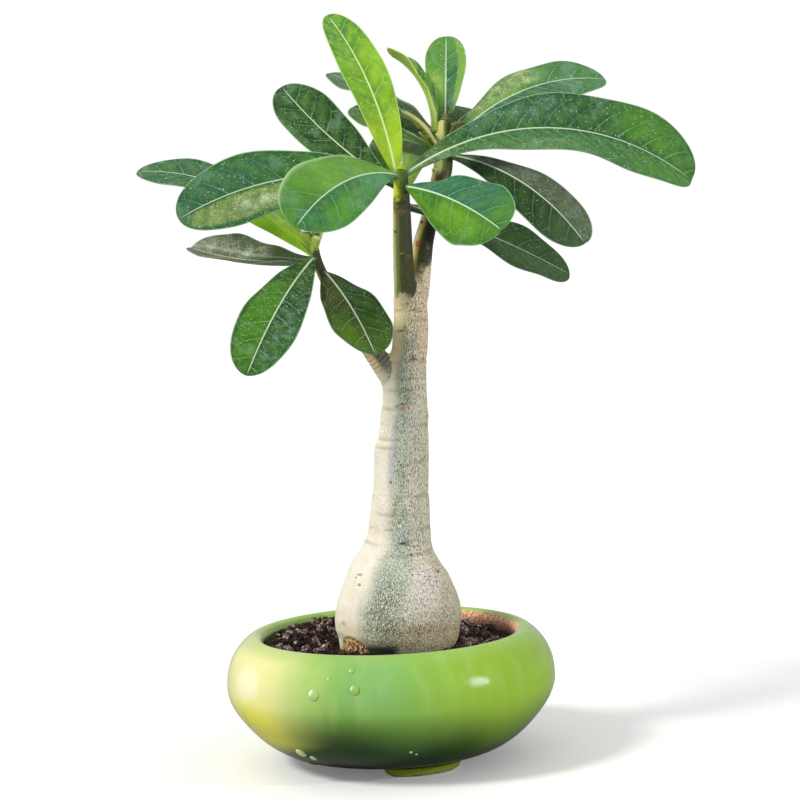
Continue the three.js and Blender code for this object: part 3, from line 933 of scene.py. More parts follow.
strew("dark_crumbs", anywhere, {
    "Gap": 0.0022, "Density": 2.2e5, "Smallest": 0.0006, "Largest": 0.0019, "Length": 1.3,
    "Thickness": 0.7, "Tilt": 1.5, "Roughness": 1.1, "Seed": 3},
    soil_material("dark_crumb", "0f0907", "785548", 1300))
strew("bark_slivers", anywhere, {
    "Gap": 0.0058, "Density": 3e4, "Smallest": 0.0007, "Largest": 0.0015, "Length": 2.4,
    "Thickness": 0.45, "Tilt": 0.5, "Roughness": 0.5, "Lift": 0.0006, "Seed": 11},
    soil_material("bark_sliver", "2a1813", "a9836f", 1300))
strew("pale_grit", pale_side, {
    "Gap": 0.0044, "Density": 5e4, "Smallest": 0.0006, "Largest": 0.0024, "Length": 1.5,
    "Thickness": 0.65, "Tilt": 1.2, "Roughness": 1.3, "Lift": 0.0008, "Seed": 29},
    soil_material("pale_grit", "5c463e", "f6e6de", 900))

# %% [markdown]
# ## The trunk
# Caudex, trunk, stems, branch and root lobe grew as one piece. Each limb is a skin over rings along its
# own line, with the same stations as the solid. Separate skins would cross at the forks with a hard
# crease, so a voxel remesh melts them into one surface and a short smoothing rounds the forks.
# %% Melt the limbs into one body
TRUNK = [
    (22, 3, 4), (27, 3, 10), (34, 3, 17), (41, 3, 21.6), (48.4, 2.9, 24.2), (54, 3.5, 26.3),
    (60.7, 3.8, 27), (67, 3.9, 26.2), (73, 4.1, 24.2), (81.4, 4.6, 20.7), (86, 5.1, 17.6),
    (90.5, 5.6, 14.9), (95, 6.2, 13.5), (103, 6.6, 12.9), (112, 7.2, 12.2), (113.5, 7.3, 11.7),
    (123, 8, 11.6), (132, 8.4, 11.7), (135.5, 9.2, 10.8), (143, 9.8, 10.1), (148, 10.5, 10.2),
    (151, 10.9, 9.5), (161.5, 11.4, 9.3), (167, 12, 8.9), (173, 13.4, 7.7), (188, 14.5, 7.3),
    (197, 14.8, 7), (201.5, 14.5, 5), (204, 14.2, 2.4)]
STEMS = {
    "front": [
        (13.4, -1, 190, 5.2), (12.7, -4, 200, 4.7), (12.5, -5.5, 216.5, 4.2), (12.7, -6, 231, 3.8),
        (12.9, -6, 242, 3.4), (13.1, -6, 250, 2.6)],
    "back": [
        (13.5, 0.5, 180, 5), (17.9, 3.6, 199, 5.3), (21.4, 6.5, 219, 4.3), (24.5, 8.8, 229, 3.7),
        (28.3, 11.5, 240, 3.9), (31.3, 14.5, 250, 4.2), (32.6, 16.5, 260, 3.8), (32.9, 17.6, 271, 2.6)],
    "left": [
        (9, 0, 159, 6), (2.5, -1.5, 168.5, 5.2), (-3, -2.5, 175, 3.6), (-9, -3, 184, 2.7),
        (-15.5, -3.5, 195, 2.4), (-21, -4, 206, 2.3), (-24, -4, 214, 2.2), (-24.8, -4, 221, 1.8)]}
LOBE_MIDDLE = (-14, -14.5, 47.5)
LOBE_RADII = (7.5, 6.5, 7)
VOXEL = 0.6


def rounded_run(stations, window=4):
    """Centre line and radius at every half millimetre of height, with the kinks rounded off."""
    rows = np.array(stations, float)
    heights = np.linspace(rows[0, 2], rows[-1, 2], int((rows[-1, 2] - rows[0, 2]) * 2) + 1)
    columns = []
    for k in (0, 1, 3):
        straight = np.interp(heights, rows[:, 2], rows[:, k])
        padded = np.pad(straight, window, mode="reflect", reflect_type="odd")
        columns.append(np.convolve(padded, np.ones(2 * window + 1) / (2 * window + 1), "valid"))
    return np.column_stack([columns[0], columns[1], heights, columns[2]])


def caudex_lumps(angle, z):
    """Slightly three-cornered caudex that grows rounder up the trunk."""
    strength = 0.02 * min(1, max(0.2, (110 - z) / 50))
    return 1 + strength * (math.cos(3 * angle + 1) + 0.5 * math.cos(5 * angle + 2))


def limb(stations, sides, lumps=None, window=4):
    """A closed skin round a limb."""
    run = rounded_run(stations, window)
    along = np.gradient(run[:, :3], axis=0)
    rings = []
    for (x, y, z, radius), step in zip(run[::2], along[::2]):
        way = Vector(step).normalized()
        side = (Vector((1, 0, 0)) - way * way.x).normalized()
        across = way.cross(side)
        ring = []
        for i in range(sides):
            angle = 2 * math.pi * i / sides
            reach = radius * (lumps(angle, z) if lumps else 1)
            ring.append(Vector((x, y, z)) + side * reach * math.cos(angle) + across * reach * math.sin(angle))
        rings.append(ring)
    return shell(rings)


def egg(centre, radii, sides=32, rows=20):
    """An egg-shaped lump."""
    rings = []
    for k in range(rows + 1):
        tilt = math.pi * (0.98 * k / rows - 0.49)
        flat = math.cos(tilt)
        rings.append([(
            centre[0] + radii[0] * flat * math.cos(2 * math.pi * i / sides),
            centre[1] + radii[1] * flat * math.sin(2 * math.pi * i / sides),
            centre[2] + radii[2] * math.sin(tilt)) for i in range(sides)])
    return shell(rings)


def melt(carrier):
    """Voxel remesh and a short smoothing."""
    remesh = carrier.modifiers.new("melt", "REMESH")
    remesh.mode = "VOXEL"
    remesh.voxel_size = VOXEL * MM
    smooth = carrier.modifiers.new("soften", "SMOOTH")
    smooth.factor = 0.5
    smooth.iterations = 5


column = [(x, 0, z, r) for z, x, r in TRUNK]
limbs = [limb(column, 96, caudex_lumps, 2), egg(LOBE_MIDDLE, LOBE_RADII)]
limbs += [limb(stations, 48) for stations in STEMS.values()]
trunk_mesh = through_modifiers("trunk_body", mesh_of("limbs", *limbs), melt)
print("the melted trunk has", len(trunk_mesh.vertices), "points")

# %% [markdown]
# ## Rings, ledges and scars
# A desert rose drops its lower leaves as it grows, and each leaves a scar, while every season leaves a
# shallow ring. They will be pressed into the melted surface point by point: each mark has a height, an
# angle round its limb and a size. The same marks are kept as attributes, so that the bark can be
# tinted exactly where the surface is dented. First they are listed, as they are read off the picture,
# with a few more on the side that it doesn't show.
# %% List the rings and scars
RINGS = [
    # height, depth and half width in millimetres: a negative depth is a groove
    (89, -0.1, 0.8), (93.5, -0.18, 0.7), (99.3, -0.2, 0.8), (106, -0.08, 0.7), (113.2, -0.25, 0.7),
    (114.6, 0.2, 0.8), (127, -0.1, 0.7), (133.8, -0.25, 0.7), (136.6, -0.25, 0.7), (143, -0.12, 0.7),
    (150.4, -0.3, 0.7), (152, 0.2, 0.7), (158, -0.12, 0.7), (163, -0.15, 0.6), (170, -0.3, 0.8),
    (176, -0.15, 0.7), (182.7, -0.25, 0.7), (187, -0.15, 0.6), (191.3, -0.25, 0.7), (198.6, -0.4, 0.7)]
SCARS = [
    # height, azimuth, half width and half height, raised by, and how dark and how rusty it is
    (93.6, -84, 2, 0.45, -0.3, 1, 0), (93, -93, 0.9, 0.4, -0.2, 0.9, 0),
    (92.6, -76, 0.8, 0.3, -0.2, 0.7, 0), (89.2, -70, 0.7, 0.6, -0.3, 1, 0),
    (92.2, -62, 2.4, 0.25, -0.1, 0.5, 0.1), (90.5, -66, 2.6, 0.2, -0.1, 0.4, 0.1),
    (80.6, -34, 1, 0.45, -0.2, 0.9, 0.4), (81.2, -33, 2, 0.9, 0.2, 0.1, 0.7),
    (81.2, -138, 1.5, 0.3, -0.2, 0.9, 0), (80, -143, 1, 0.25, -0.1, 0.6, 0.3),
    (77.3, -134, 1, 0.35, -0.25, 0.9, 0), (78, -142, 0.8, 0.25, -0.1, 0.6, 0.3),
    (87.4, -117, 2.6, 0.3, -0.15, 0, 0.6), (86.6, -108, 1.4, 0.25, -0.1, 0.1, 0.4),
    (61.7, -147, 1.6, 1, 0.15, 0.1, 0.6), (99.2, -112, 2.4, 0.35, -0.1, 0.5, 0.2),
    (150.4, -97, 1.8, 0.75, 0.4, 0, 1), (151.9, -99, 1.3, 0.35, -0.3, 1, 0),
    (151.4, -112, 0.9, 0.4, -0.2, 0.6, 0.4), (136.2, -40, 2.6, 0.4, 0.3, 0, 0),
    (136.4, -62, 0.8, 0.6, 0.3, 0, 0), (119.5, -112, 0.7, 0.6, -0.3, 1, 0),
    (171.9, -77, 0.9, 0.5, -0.3, 1, 0), (170.7, -72, 1.8, 0.45, -0.3, 1, 0.2),
    (170.2, -74, 2.4, 0.9, 0.35, 0, 0.8), (171, -36, 1, 0.5, -0.25, 0.9, 0.4),
    (170, -40, 1.9, 1, 0.3, 0, 0.9), (182.7, -121, 1.7, 0.45, -0.2, 0.9, 0),
    (184.2, -108, 1.4, 0.3, -0.2, 0.6, 0.3), (180.5, -70, 0.5, 1.2, -0.2, 0.3, 0.7),
    (191.3, -81, 2, 0.35, -0.25, 0.8, 0.1), (190.6, -60, 1.6, 0.35, -0.15, 0.8, 0.1),
    (193.5, -72, 0.5, 1.2, 0.2, 0.1, 0.5), (198.7, -95, 3, 0.4, -0.3, 0.9, 0),
    (199.5, -30, 1.4, 0.5, -0.3, 0.8, 0), (196.8, -150, 1, 0.6, -0.2, 0.8, 0.1),
    (214.9, -100, 1.5, 0.35, 0.2, 0.3, 0.8), (236.2, -100, 3.4, 0.4, 0.25, 0.8, 0.1),
    (232.4, -100, 3, 0.3, 0.15, 0.5, 0.3), (113.6, -88, 3.8, 0.5, 0.2, 0, 0.55),
    (112.6, -96, 2.4, 0.25, -0.1, 0.4, 0.2), (101, 60, 2.4, 0.7, 0.3, 0.5, 0.6),
    (125, 120, 2.4, 0.7, 0.35, 0.5, 0.6), (146, 30, 2.2, 0.7, 0.35, 0.5, 0.6),
    (166, 150, 2, 0.7, 0.3, 0.5, 0.6), (92, 165, 2.6, 0.7, 0.3, 0.5, 0.5),
    (70, 75, 3, 0.8, 0.25, 0.4, 0.5)]
print(len(RINGS), "rings and", len(SCARS), "scars are listed")

# %% [markdown]
# ## Which limb a point belongs to
# To press a mark into the melted surface, each point needs to know its limb, its angle round that limb
# and its side. A point belongs to the limb whose skin passes nearest to it, which numpy finds in one
# short search for each of the four limbs.
# %% Find each point's limb, angle and side
LIMB_NAMES = ("trunk", "front", "back", "left")


def trunk_coordinates(points):
    """The limb of every point of the trunk, its angle round that limb and its side from -1 to 1."""
    lines = {name: rounded_run(stations) for name, stations in STEMS.items()}
    lines["trunk"] = rounded_run(column)
    best = np.full(len(points), np.inf)
    angle = np.zeros(len(points))
    limb_number = np.zeros(len(points))
    side = np.zeros(len(points))
    for name, run in lines.items():
        inside = (points[:, 2] > run[0, 2]) & (points[:, 2] < run[-1, 2] + 3)
        x = points[:, 0] - np.interp(points[:, 2], run[:, 2], run[:, 0])
        y = points[:, 1] - np.interp(points[:, 2], run[:, 2], run[:, 1])
        radius = np.interp(points[:, 2], run[:, 2], run[:, 3])
        spare = np.abs(np.hypot(x, y) - radius)
        closer = inside & (spare < best)
        best[closer] = spare[closer]
        angle[closer] = np.arctan2(y, x)[closer]
        side[closer] = np.clip(x / radius, -1.1, 1.1)[closer]
        limb_number[closer] = LIMB_NAMES.index(name)
    return limb_number, angle, side


def point_array(mesh, kind="co"):
    """All points of a mesh, or their normals, as rows."""
    flat = np.empty(len(mesh.vertices) * 3, np.float32)
    mesh.vertices.foreach_get(kind, flat)
    return flat.reshape(-1, 3)


trunk_points = (point_array(trunk_mesh) - np.array(bowl_middle)) / MM
whereabouts = trunk_coordinates(trunk_points)
for number, name in enumerate(LIMB_NAMES):
    print(name, "has", int((whereabouts[0] == number).sum()), "points")

# %% [markdown]
# ## Press the marks
# Each kind of mark is one rule that says how far a point moves along its normal: rings are soft bands
# that come and go round the trunk, scars are ragged ovals, and the branch has knuckles. The rules also
# give masks, which are kept on the points for the bark. Above the trunk, scars belong to the front stem.
# %% Press rings, scars and knuckles into the surface
STEM_FOOT = 199.2
TRUNK_TOP = 200
STEM_RADIUS = 4
BRANCH_FOOT_X = 2.5
BRANCH_FOOT_Z = 168.5
KNUCKLE_DEPTH = 0.22
GRAIN_DEPTH = 0.35


def ring_marks(angle, height, strength):
    """How far the rings raise each point, and how deep it lies in a groove."""
    rise = np.zeros(len(height))
    groove = np.zeros(len(height))
    for level, depth, half in RINGS:
        bent = level + 0.55 * np.sin(angle + level) + 0.3 * np.sin(3 * angle + 2 * level)
        patchy = 0.5 + 0.5 * np.sin(2 * angle + 2.3 * level)
        band = np.exp(-((height - bent) / half) ** 2) * strength * patchy
        rise += depth * band
        groove = np.maximum(groove, band * (depth < 0))
    return rise, groove


def scar_marks(angle, height, girth, limb_number):
    """How far the scars raise each point, and how dark and how rusty they make it."""
    rise = np.zeros(len(height))
    dark = np.zeros(len(height))
    rusty = np.zeros(len(height))
    trunk_run = rounded_run(column)
    for level, azimuth, wide, tall, raised, darkness, rust in SCARS:
        turn = (angle - math.radians(azimuth) + math.pi) % (2 * math.pi) - math.pi
        radius = STEM_RADIUS
        if level < TRUNK_TOP:
            radius = float(np.interp(level, trunk_run[:, 2], trunk_run[:, 3]))
        ragged = 0.25 * np.sin(9 * angle + level) + 0.2 * np.sin(5 * height)
        reach = (turn * radius / wide) ** 2 + ((height - level) / tall + ragged) ** 2
        own_limb = limb_number == (0 if level < STEM_FOOT else 1)
        spot = np.clip(1.4 - reach, 0, 1) * (girth > 0.3) * own_limb
        rise += raised * spot
        dark = np.maximum(dark, spot * darkness)
        rusty = np.maximum(rusty, spot * rust)
    return rise, dark, rusty


def branch_knuckles(points, angle, limb_number):
    """Where the branch has its close ridges, and the ridges as a wave from -1 to 1."""
    along = 0.76 * (points[:, 2] - BRANCH_FOOT_Z) - 0.65 * (points[:, 0] - BRANCH_FOOT_X)
    ridged = (limb_number == 3) * np.clip(1.3 - np.abs(along - 3.5) / 5, 0, 1)
    return ridged, np.sin(along * 3.3 + 0.9 * np.sin(2 * angle))


def lobe_grains(points):
    """Where the root lobe is, and the coarse grains on it as a wave from -1 to 1."""
    x, y, z = points.T
    near = np.linalg.norm((points - np.array(LOBE_MIDDLE)) / (np.array(LOBE_RADII) + 1.1), axis=1)
    lobe = np.clip((1.16 - near) / 0.12, 0, 1) * (np.hypot(x - 2.9, y) > 21.5)
    return lobe, np.sin(3.1 * x + 2 * np.sin(2.3 * z)) * np.sin(2.9 * z + 2 * np.sin(2.7 * y))


def mark_trunk(mesh, points, limb_number, angle, side):
    """Presses all marks into the trunk and keeps their masks as attributes."""
    out = point_array(mesh, "normal")
    height = points[:, 2]
    old = 1 - np.minimum(limb_number, 1)
    above_soil = np.clip((height - 74) / 10, 0, 1) * old
    rise, groove = ring_marks(angle, height, above_soil)
    scarred, dark, rusty = scar_marks(angle, height, np.hypot(out[:, 0], out[:, 1]), limb_number)
    swell = 0.25 * np.sin(3 * angle + 0.11 * height) + 0.18 * np.sin(5 * angle - 0.17 * height + 1)
    ridged, ridges = branch_knuckles(points, angle, limb_number)
    lobe, grains = lobe_grains(points)
    rise += scarred + swell * old + KNUCKLE_DEPTH * ridged * ridges + lobe * GRAIN_DEPTH * grains
    moved = (points + out * rise[:, None]) * MM + np.array(bowl_middle)
    mesh.vertices.foreach_set("co", moved.astype(np.float32).ravel())
    marks = {
        "groove": groove, "dark_scar": dark, "rust": rusty, "side": side, "front_stem": limb_number == 1,
        "back_stem": limb_number == 2, "branch": limb_number == 3, "lobe": lobe,
        "grains": grains * 0.5 + 0.5, "knuckle": ridged * (0.5 + 0.5 * ridges)}
    for name, values in marks.items():
        amounts = mesh.attributes.new(name, "FLOAT", "POINT")
        amounts.data.foreach_set("value", values.astype(np.float32))
    mesh.update()
    print("deepest mark", round(float(rise.min()), 2), "mm, highest", round(float(rise.max()), 2), "mm")


mark_trunk(trunk_mesh, trunk_points, *whereabouts)

# %% [markdown]
# ## The bark
# The skin is thin and satin, cream on the left, blue-grey green down the middle and olive beige on the
# right, stippled with fine upright streaks. These side colours are partly the bark's own and partly
# painted light: the near-white cream is painted sunlight, and the blue-grey green is partly painted
# shade. Noise stretched along the trunk gives the streaks, and the side colours come from the angle
# round the trunk. Single places have a colour of their own, which is listed with its side and height,
# and a few of them are painted light.
# %% List the tinted places and draw the grain
def blend_along(tree, amount, stops):
    """A colour that passes through the stops as the amount grows."""
    body = stops[0][1]
    for (low, _), (high, code) in zip(stops, stops[1:]):
        body = tinted(tree, climb(amount, low, high), body, code)
    return body


BARK_TINTS = [
    # side from -1 to 1, height, half width, half height, colour, amount
    # the pale pink oval at side 0.46 and height 76 is a painted highlight
    (0.46, 76, 0.35, 10.5, "fbeef0", 0.8), (-0.16, 67, 0.42, 20, "4c6662", 0.75),
    (-0.35, 84, 0.25, 9, "9db4b0", 0.4), (-0.38, 130, 0.28, 17, "b9c2da", 0.6),
    (-0.05, 107.5, 0.35, 6.5, "5f7f5c", 0.45), (0.0, 120, 0.22, 9, "7d9068", 0.4),
    (-0.1, 157, 0.35, 8, "56704f", 0.5), (-0.2, 142, 0.3, 5, "64808a", 0.35),
    (-0.1, 186, 0.4, 5, "7c7f4c", 0.45), (0.55, 183, 0.35, 8, "f6d2c2", 0.5),
    (0.3, 57.5, 0.6, 4.2, "b47832", 0.9), (0.35, 113.4, 0.8, 1.3, "d8c49a", 0.6),
    (0.75, 140, 0.3, 26, "d2cf96", 0.35), (-0.55, 100, 0.2, 14, "fff2ea", 0.4),
    # the near-white ovals far left at heights 158 and 140 are painted sunlight over the leaves' cast shade
    (0.1, 95, 0.3, 5, "8fa09c", 0.35), (-0.85, 158, 0.4, 11, "fffce4", 0.9),
    (-0.9, 140, 0.35, 20, "fffce8", 0.6), (-0.35, 158, 0.25, 7, "dfe2b0", 0.5),
    (0.05, 58.5, 0.33, 6.5, "34402c", 0.6), (0.95, 64, 0.4, 16, "8a7a48", 0.4)]


def bark_grain(tree, place):
    """Slow patches, clumps, fine upright streaks and pale stipples, each as a mask."""
    wander = patches(tree, place, 60, 0.2, 0.8, stretch=3)
    clump = patches(tree, place, 150, 0.35, 0.65, stretch=1.6)
    streak = patches(tree, place, 2200, 0.45, 0.6, stretch=2.8)
    stipple = patches(tree, place, 2400, 0.5, 0.6, stretch=2)
    return wander, clump, streak, stipple


print(len(BARK_TINTS), "places of the bark have a colour of their own")

# %% [markdown]
# ## Old bark
# The old bark is built up in layers, as a painter would do it: the colour of each side first, with
# painted sunlight on the left and painted shade down the middle, then the tinted places, the earthy foot,
# the streaks and stipples, a warm blush on the light side and last a painted shadow in the gap at the
# soil, and the grooves.
# %% Layer the old bark
GOLDEN_HEIGHTS = (0.152, 0.178)
EARTHY_HEIGHTS = (0.066, 0.054)


def tinted_places(tree, body, side, z, clump):
    """The bark with its tinted places, each a soft oval."""
    for middle_side, middle_z, half_side, half_z, colour, amount in BARK_TINTS:
        oval = ((side - middle_side) / half_side) ** 2 + ((z - middle_z * MM) / (half_z * MM)) ** 2
        cover = climb(oval, 1.0, 0.1) * (amount * 0.6 + clump * (amount * 0.4))
        body = tinted(tree, cover, body, colour)
    return body


def old_bark(tree, place, side, z, grain):
    """Cream, grey-green and beige round the trunk, partly painted light and shade, with streaks and stipples.
    """
    wander, clump, streak, stipple = grain
    pushed = side + climb(z, 0.088, 0.064) * 0.2
    shaded = climb(pushed, -0.62, -0.12)
    # painted sunlight makes the left near white, and painted shade darkens the grey-green middle
    body = blend_along(tree, pushed, [
        (-0.58, "fdfaea"), (-0.24, "cbd5c2"), (0.1, "c4d0bc"), (0.45, "e8e3d0"), (1.0, "e6e0c2")])
    tan = blend_along(tree, side, [(-0.8, "f6e2a8"), (-0.2, "c2b984"), (0.3, "d6c492"), (0.8, "f8dcb2")])
    body = tinted(tree, climb(z, *GOLDEN_HEIGHTS) * 0.85, body, tan)
    blue = patches(tree, place, 75, 0.5, 0.68, stretch=2.2)
    middle = climb(side, -0.7, -0.2) * climb(side, 0.5, 0.2)
    body = tinted(tree, blue * middle * 0.5, body, "93a6a4")
    body = tinted_places(tree, body, side, z, clump)
    # the earthy foot is near white on the left, where sunlight is painted in as well
    foot = blend_along(tree, side, [
        (-0.85, "fff6d4"), (-0.5, "ccc89c"), (-0.28, "8f9468"), (0.2, "bfb880"), (0.8, "c8bc84")])
    body = tinted(tree, climb(z, *EARTHY_HEIGHTS) * (0.5 + wander * 0.4), body, foot)
    streaks = tinted(tree, clump, "36463a", "5a5634")
    body = tinted(tree, streak * (0.05 + shaded * 0.82) * (0.65 + clump * 0.35), body, streaks)
    body = tinted(tree, stipple * (0.2 + shaded * 0.6), body, "fbf5e2")
    blush = patches(tree, place, 170, 0.42, 0.66, stretch=1.8)
    body = tinted(tree, (1 - shaded) * (blush * 0.22 + streak * 0.14), body, "f2d6a4")
    # painted shadow in the gap under the caudex at the soil line
    painted_gap_shadow = climb(side, 0.15, -0.1) * climb(side, -0.8, -0.6) * climb(z, 0.0545, 0.0508)
    body = tinted(tree, painted_gap_shadow * 0.95, body, "17211a")
    return tinted(tree, attribute(tree, "groove") * 0.38, body, "7c6c48")


print("old bark turns golden from", round(GOLDEN_HEIGHTS[0] / MM, 1), "mm up")
print("old bark turns earthy from", round(EARTHY_HEIGHTS[0] / MM, 1), "mm down")

# %% [markdown]
# ## Young stems
# The two stems and the branch are still young. Each has its own skin, light on the left and dark on the
# right, which is painted sunlight and painted shade over its own colour, with another colour at its
# growing end. The front stem's tip darkens at its top with a painted shadow of the leaves. The branch
# leaves the trunk over a few close ridges, and the root lobe is earthy brown.
# %% Colour the young stems
YOUNG_SKIN = (0.1975, 0.1995)
YOUNG_BACK_SKIN = (0.2065, 0.2095)


def front_skin(tree, side, z, ragged, grain):
    """Olive green with painted light and shade across it, a corky old node and a bright tip."""
    _, clump, _, stipple = grain
    # painted sunlight on the left and painted shade on the right, here and on the tip
    skin = blend_along(tree, side, [
        (-1.0, "c2c48a"), (-0.65, "6c7040"), (-0.25, "3a4219"), (0.8, "34381c")])
    tip = blend_along(tree, side, [(-0.8, "dde84a"), (-0.4, "b4c828"), (0.0, "5a7416"), (0.5, "2c3c10")])
    # painted shadow of the leaves over the top of the tip
    tip = tinted(tree, climb(z, 0.2455, 0.248) * 0.8, tip, "47661c")
    skin = tinted(tree, climb(z, 0.2365, 0.2378), skin, tip)
    old_node = blend_along(tree, clump * 0.6 + stipple * 0.4 - side * 0.25, [
        (0.25, "1c160b"), (0.5, "302c18"), (0.7, "4c3a22"), (0.95, "847448")])
    return tinted(tree, zone(ragged, 0.234, 0.2368, 0.0004) * 0.9, skin, old_node)


def back_skin(tree, side, z, clump):
    """Golden skin with painted sunlight left and shade right, a sandy shoot, a green tip and one rusty spot.
    """
    skin = blend_along(tree, side, [
        (-0.9, "fbe6b8"), (-0.6, "dcc468"), (-0.2, "4a4c1c"), (0.1, "28320f"), (0.8, "35301f")])
    shoot = blend_along(tree, side + (clump - 0.5) * 0.5, [
        (-0.9, "f6e4b8"), (-0.5, "d8b878"), (-0.2, "4a4a20"), (0.3, "262e10"), (0.9, "6c6a34")])
    shoot_tip = blend_along(tree, side, [(-0.3, "dcdc88"), (0.1, "6c8034"), (0.5, "36481a")])
    shoot = tinted(tree, climb(z, 0.247, 0.251) * 0.85, shoot, shoot_tip)
    skin = tinted(tree, climb(z, 0.233, 0.24), skin, shoot)
    rust_spot = climb(((side + 0.55) / 0.3) ** 2 + ((z - 0.219) / 0.0018) ** 2, 1.0, 0.3)
    return tinted(tree, rust_spot * 0.8, skin, "b8561e")


def branch_skin(tree, side, ragged):
    """Grey olive with painted light on the left and painted shade on the right, and a green growing end."""
    skin = blend_along(tree, side, [(-0.9, "8b8a58"), (-0.2, "4c4a2e"), (0.8, "35341f")])
    green_end = tinted(tree, climb(side, -0.5, 0.4), "cbe04a", "6f8c22")
    return tinted(tree, climb(ragged, 0.2155, 0.2172), skin, green_end)


def branch_ridges(tree, side):
    """Ridges and valleys at the foot of the branch, with painted light on the left and painted shade on the
    right.
    """
    ridge = tinted(tree, climb(side, -0.5, 0.1), "fdf3cc", "4a4c42")
    valley = tinted(tree, climb(side, -0.5, 0.1), "d8b884", "83846c")
    return tinted(tree, attribute(tree, "knuckle"), valley, ridge)


def lobe_skin(tree, stipple):
    """Earthy brown root with paler grains."""
    return blend_along(tree, attribute(tree, "grains") + (stipple - 0.5) * 0.5, [
        (0.1, "2a1c12"), (0.4, "a0682f"), (0.65, "d9b98a"), (0.95, "f2e3c4")])


print("young skin starts", round(YOUNG_SKIN[0] / MM, 1), "mm up on the front stem")
print("young skin starts", round(YOUNG_BACK_SKIN[0] / MM, 1), "mm up on the back stem")

# %% [markdown]
# ## One material for the whole trunk
# Real bark has no seams where a stem leaves the trunk, so one material covers the whole piece and the
# masks that the points carry say where each skin shows. The line between old and young skin is made
# ragged by the same grain that colours the bark.
# %% Mix the bark and finish the trunk
def bark_material():
    """Stippled bark, cream, grey-green and beige round the trunk, over olive young stems."""
    material, tree, surface = simple_material("stippled_bark", shade("a9ab90"), 0.55)
    place, (x, _, z) = object_place(tree)
    grain = bark_grain(tree, place)
    wander, clump, streak, stipple = grain
    side = attribute(tree, "side") + (wander - 0.5) * 0.3
    ragged = z + (clump - 0.5) * 0.004 + (stipple - streak) * 0.0012
    young = climb(ragged, *YOUNG_SKIN)
    young_back = climb(ragged + (side - 0.2) * -0.002, *YOUNG_BACK_SKIN)
    branch = attribute(tree, "branch")
    ridged = branch * climb(z, 0.164, 0.168) * climb(z, 0.182, 0.177)
    layers = [
        (young * attribute(tree, "front_stem"), front_skin(tree, side, z, ragged, grain)),
        (young_back * attribute(tree, "back_stem"), back_skin(tree, side, z, clump)),
        (climb(x, -0.002, -0.008) * branch, branch_skin(tree, side, ragged)),
        (ridged, branch_ridges(tree, side)),
        (attribute(tree, "lobe"), lobe_skin(tree, stipple)),
        (streak * young * 0.12, "8f8f62"),
        (attribute(tree, "rust") * 0.75, "cc9468"),
        (attribute(tree, "dark_scar") * 0.85, "2d241b")]
    body = old_bark(tree, place, side, z, grain)
    for cover, colour in layers:
        body = tinted(tree, cover, body, colour)
    plug(tree, body, surface.inputs["Base Color"])
    plug(tree, streak * 0.12 + 0.5, surface.inputs["Roughness"])
    bumped(tree, surface, (streak * 0.6 + stipple * 0.5) * (1 - young * 0.7), 0.0003, 0.7)
    surface.inputs["Specular IOR Level"].default_value = 0.35
    return material


finish_piece("trunk_body", trunk_mesh, ["trunk"], bark_material())

# %% [markdown]
# ## The leaves
# Every leaf is one blade on a short stalk: it bends along its length, is folded a little at the midrib
# and waves at its margin. That is a rule, so one geometry tree makes all twenty. It bends a flat grid
# round a lens-shaped section. A grid position gives how far along the blade a point is and how far
# round the section, and the formulas are the same ones that shaped the solids. Lengths are in
# millimetres until the last step. In the formulas u runs from the stalk to the tip, 0 to 1, and t from
# the left margin to the right one, -1 to 1.
# %% Write the leaf tree
STALK_ROOT = 3.2
RIB_THICKNESS = 1.0
MARGIN_THICKNESS = 0.65
WELD_LEAF = 2e-6
LEAF_INPUTS = {
    # lengths in millimetres, angles in radians, and the rest as shares and counts
    "Length": 80, "Width": 28, "Rise": 0.3, "Droop": 0.3, "Roll": 0.0, "Fold": 0.1, "Curl": 0.0,
    "Wave": 0.03, "Waves": 2.5, "Taper": 1.15, "Tip": 0.5, "Lag": 0.0, "Veins": 9, "Lean": 1.1,
    "Quilting": 0.16, "Azimuth": 0.0, "Stalk": 1.3, "Body": 1.0, "Root": STALK_ROOT}


def kept(tree, shape, name, vector):
    """Keeps a vector on every point of a shape under a name."""
    store = node(tree, "GeometryNodeStoreNamedAttribute", {"Geometry": shape, "Name": name},
                 data_type="FLOAT_VECTOR", domain="POINT")
    plug(tree, vector, store.inputs["Value"])
    return store.outputs[0]


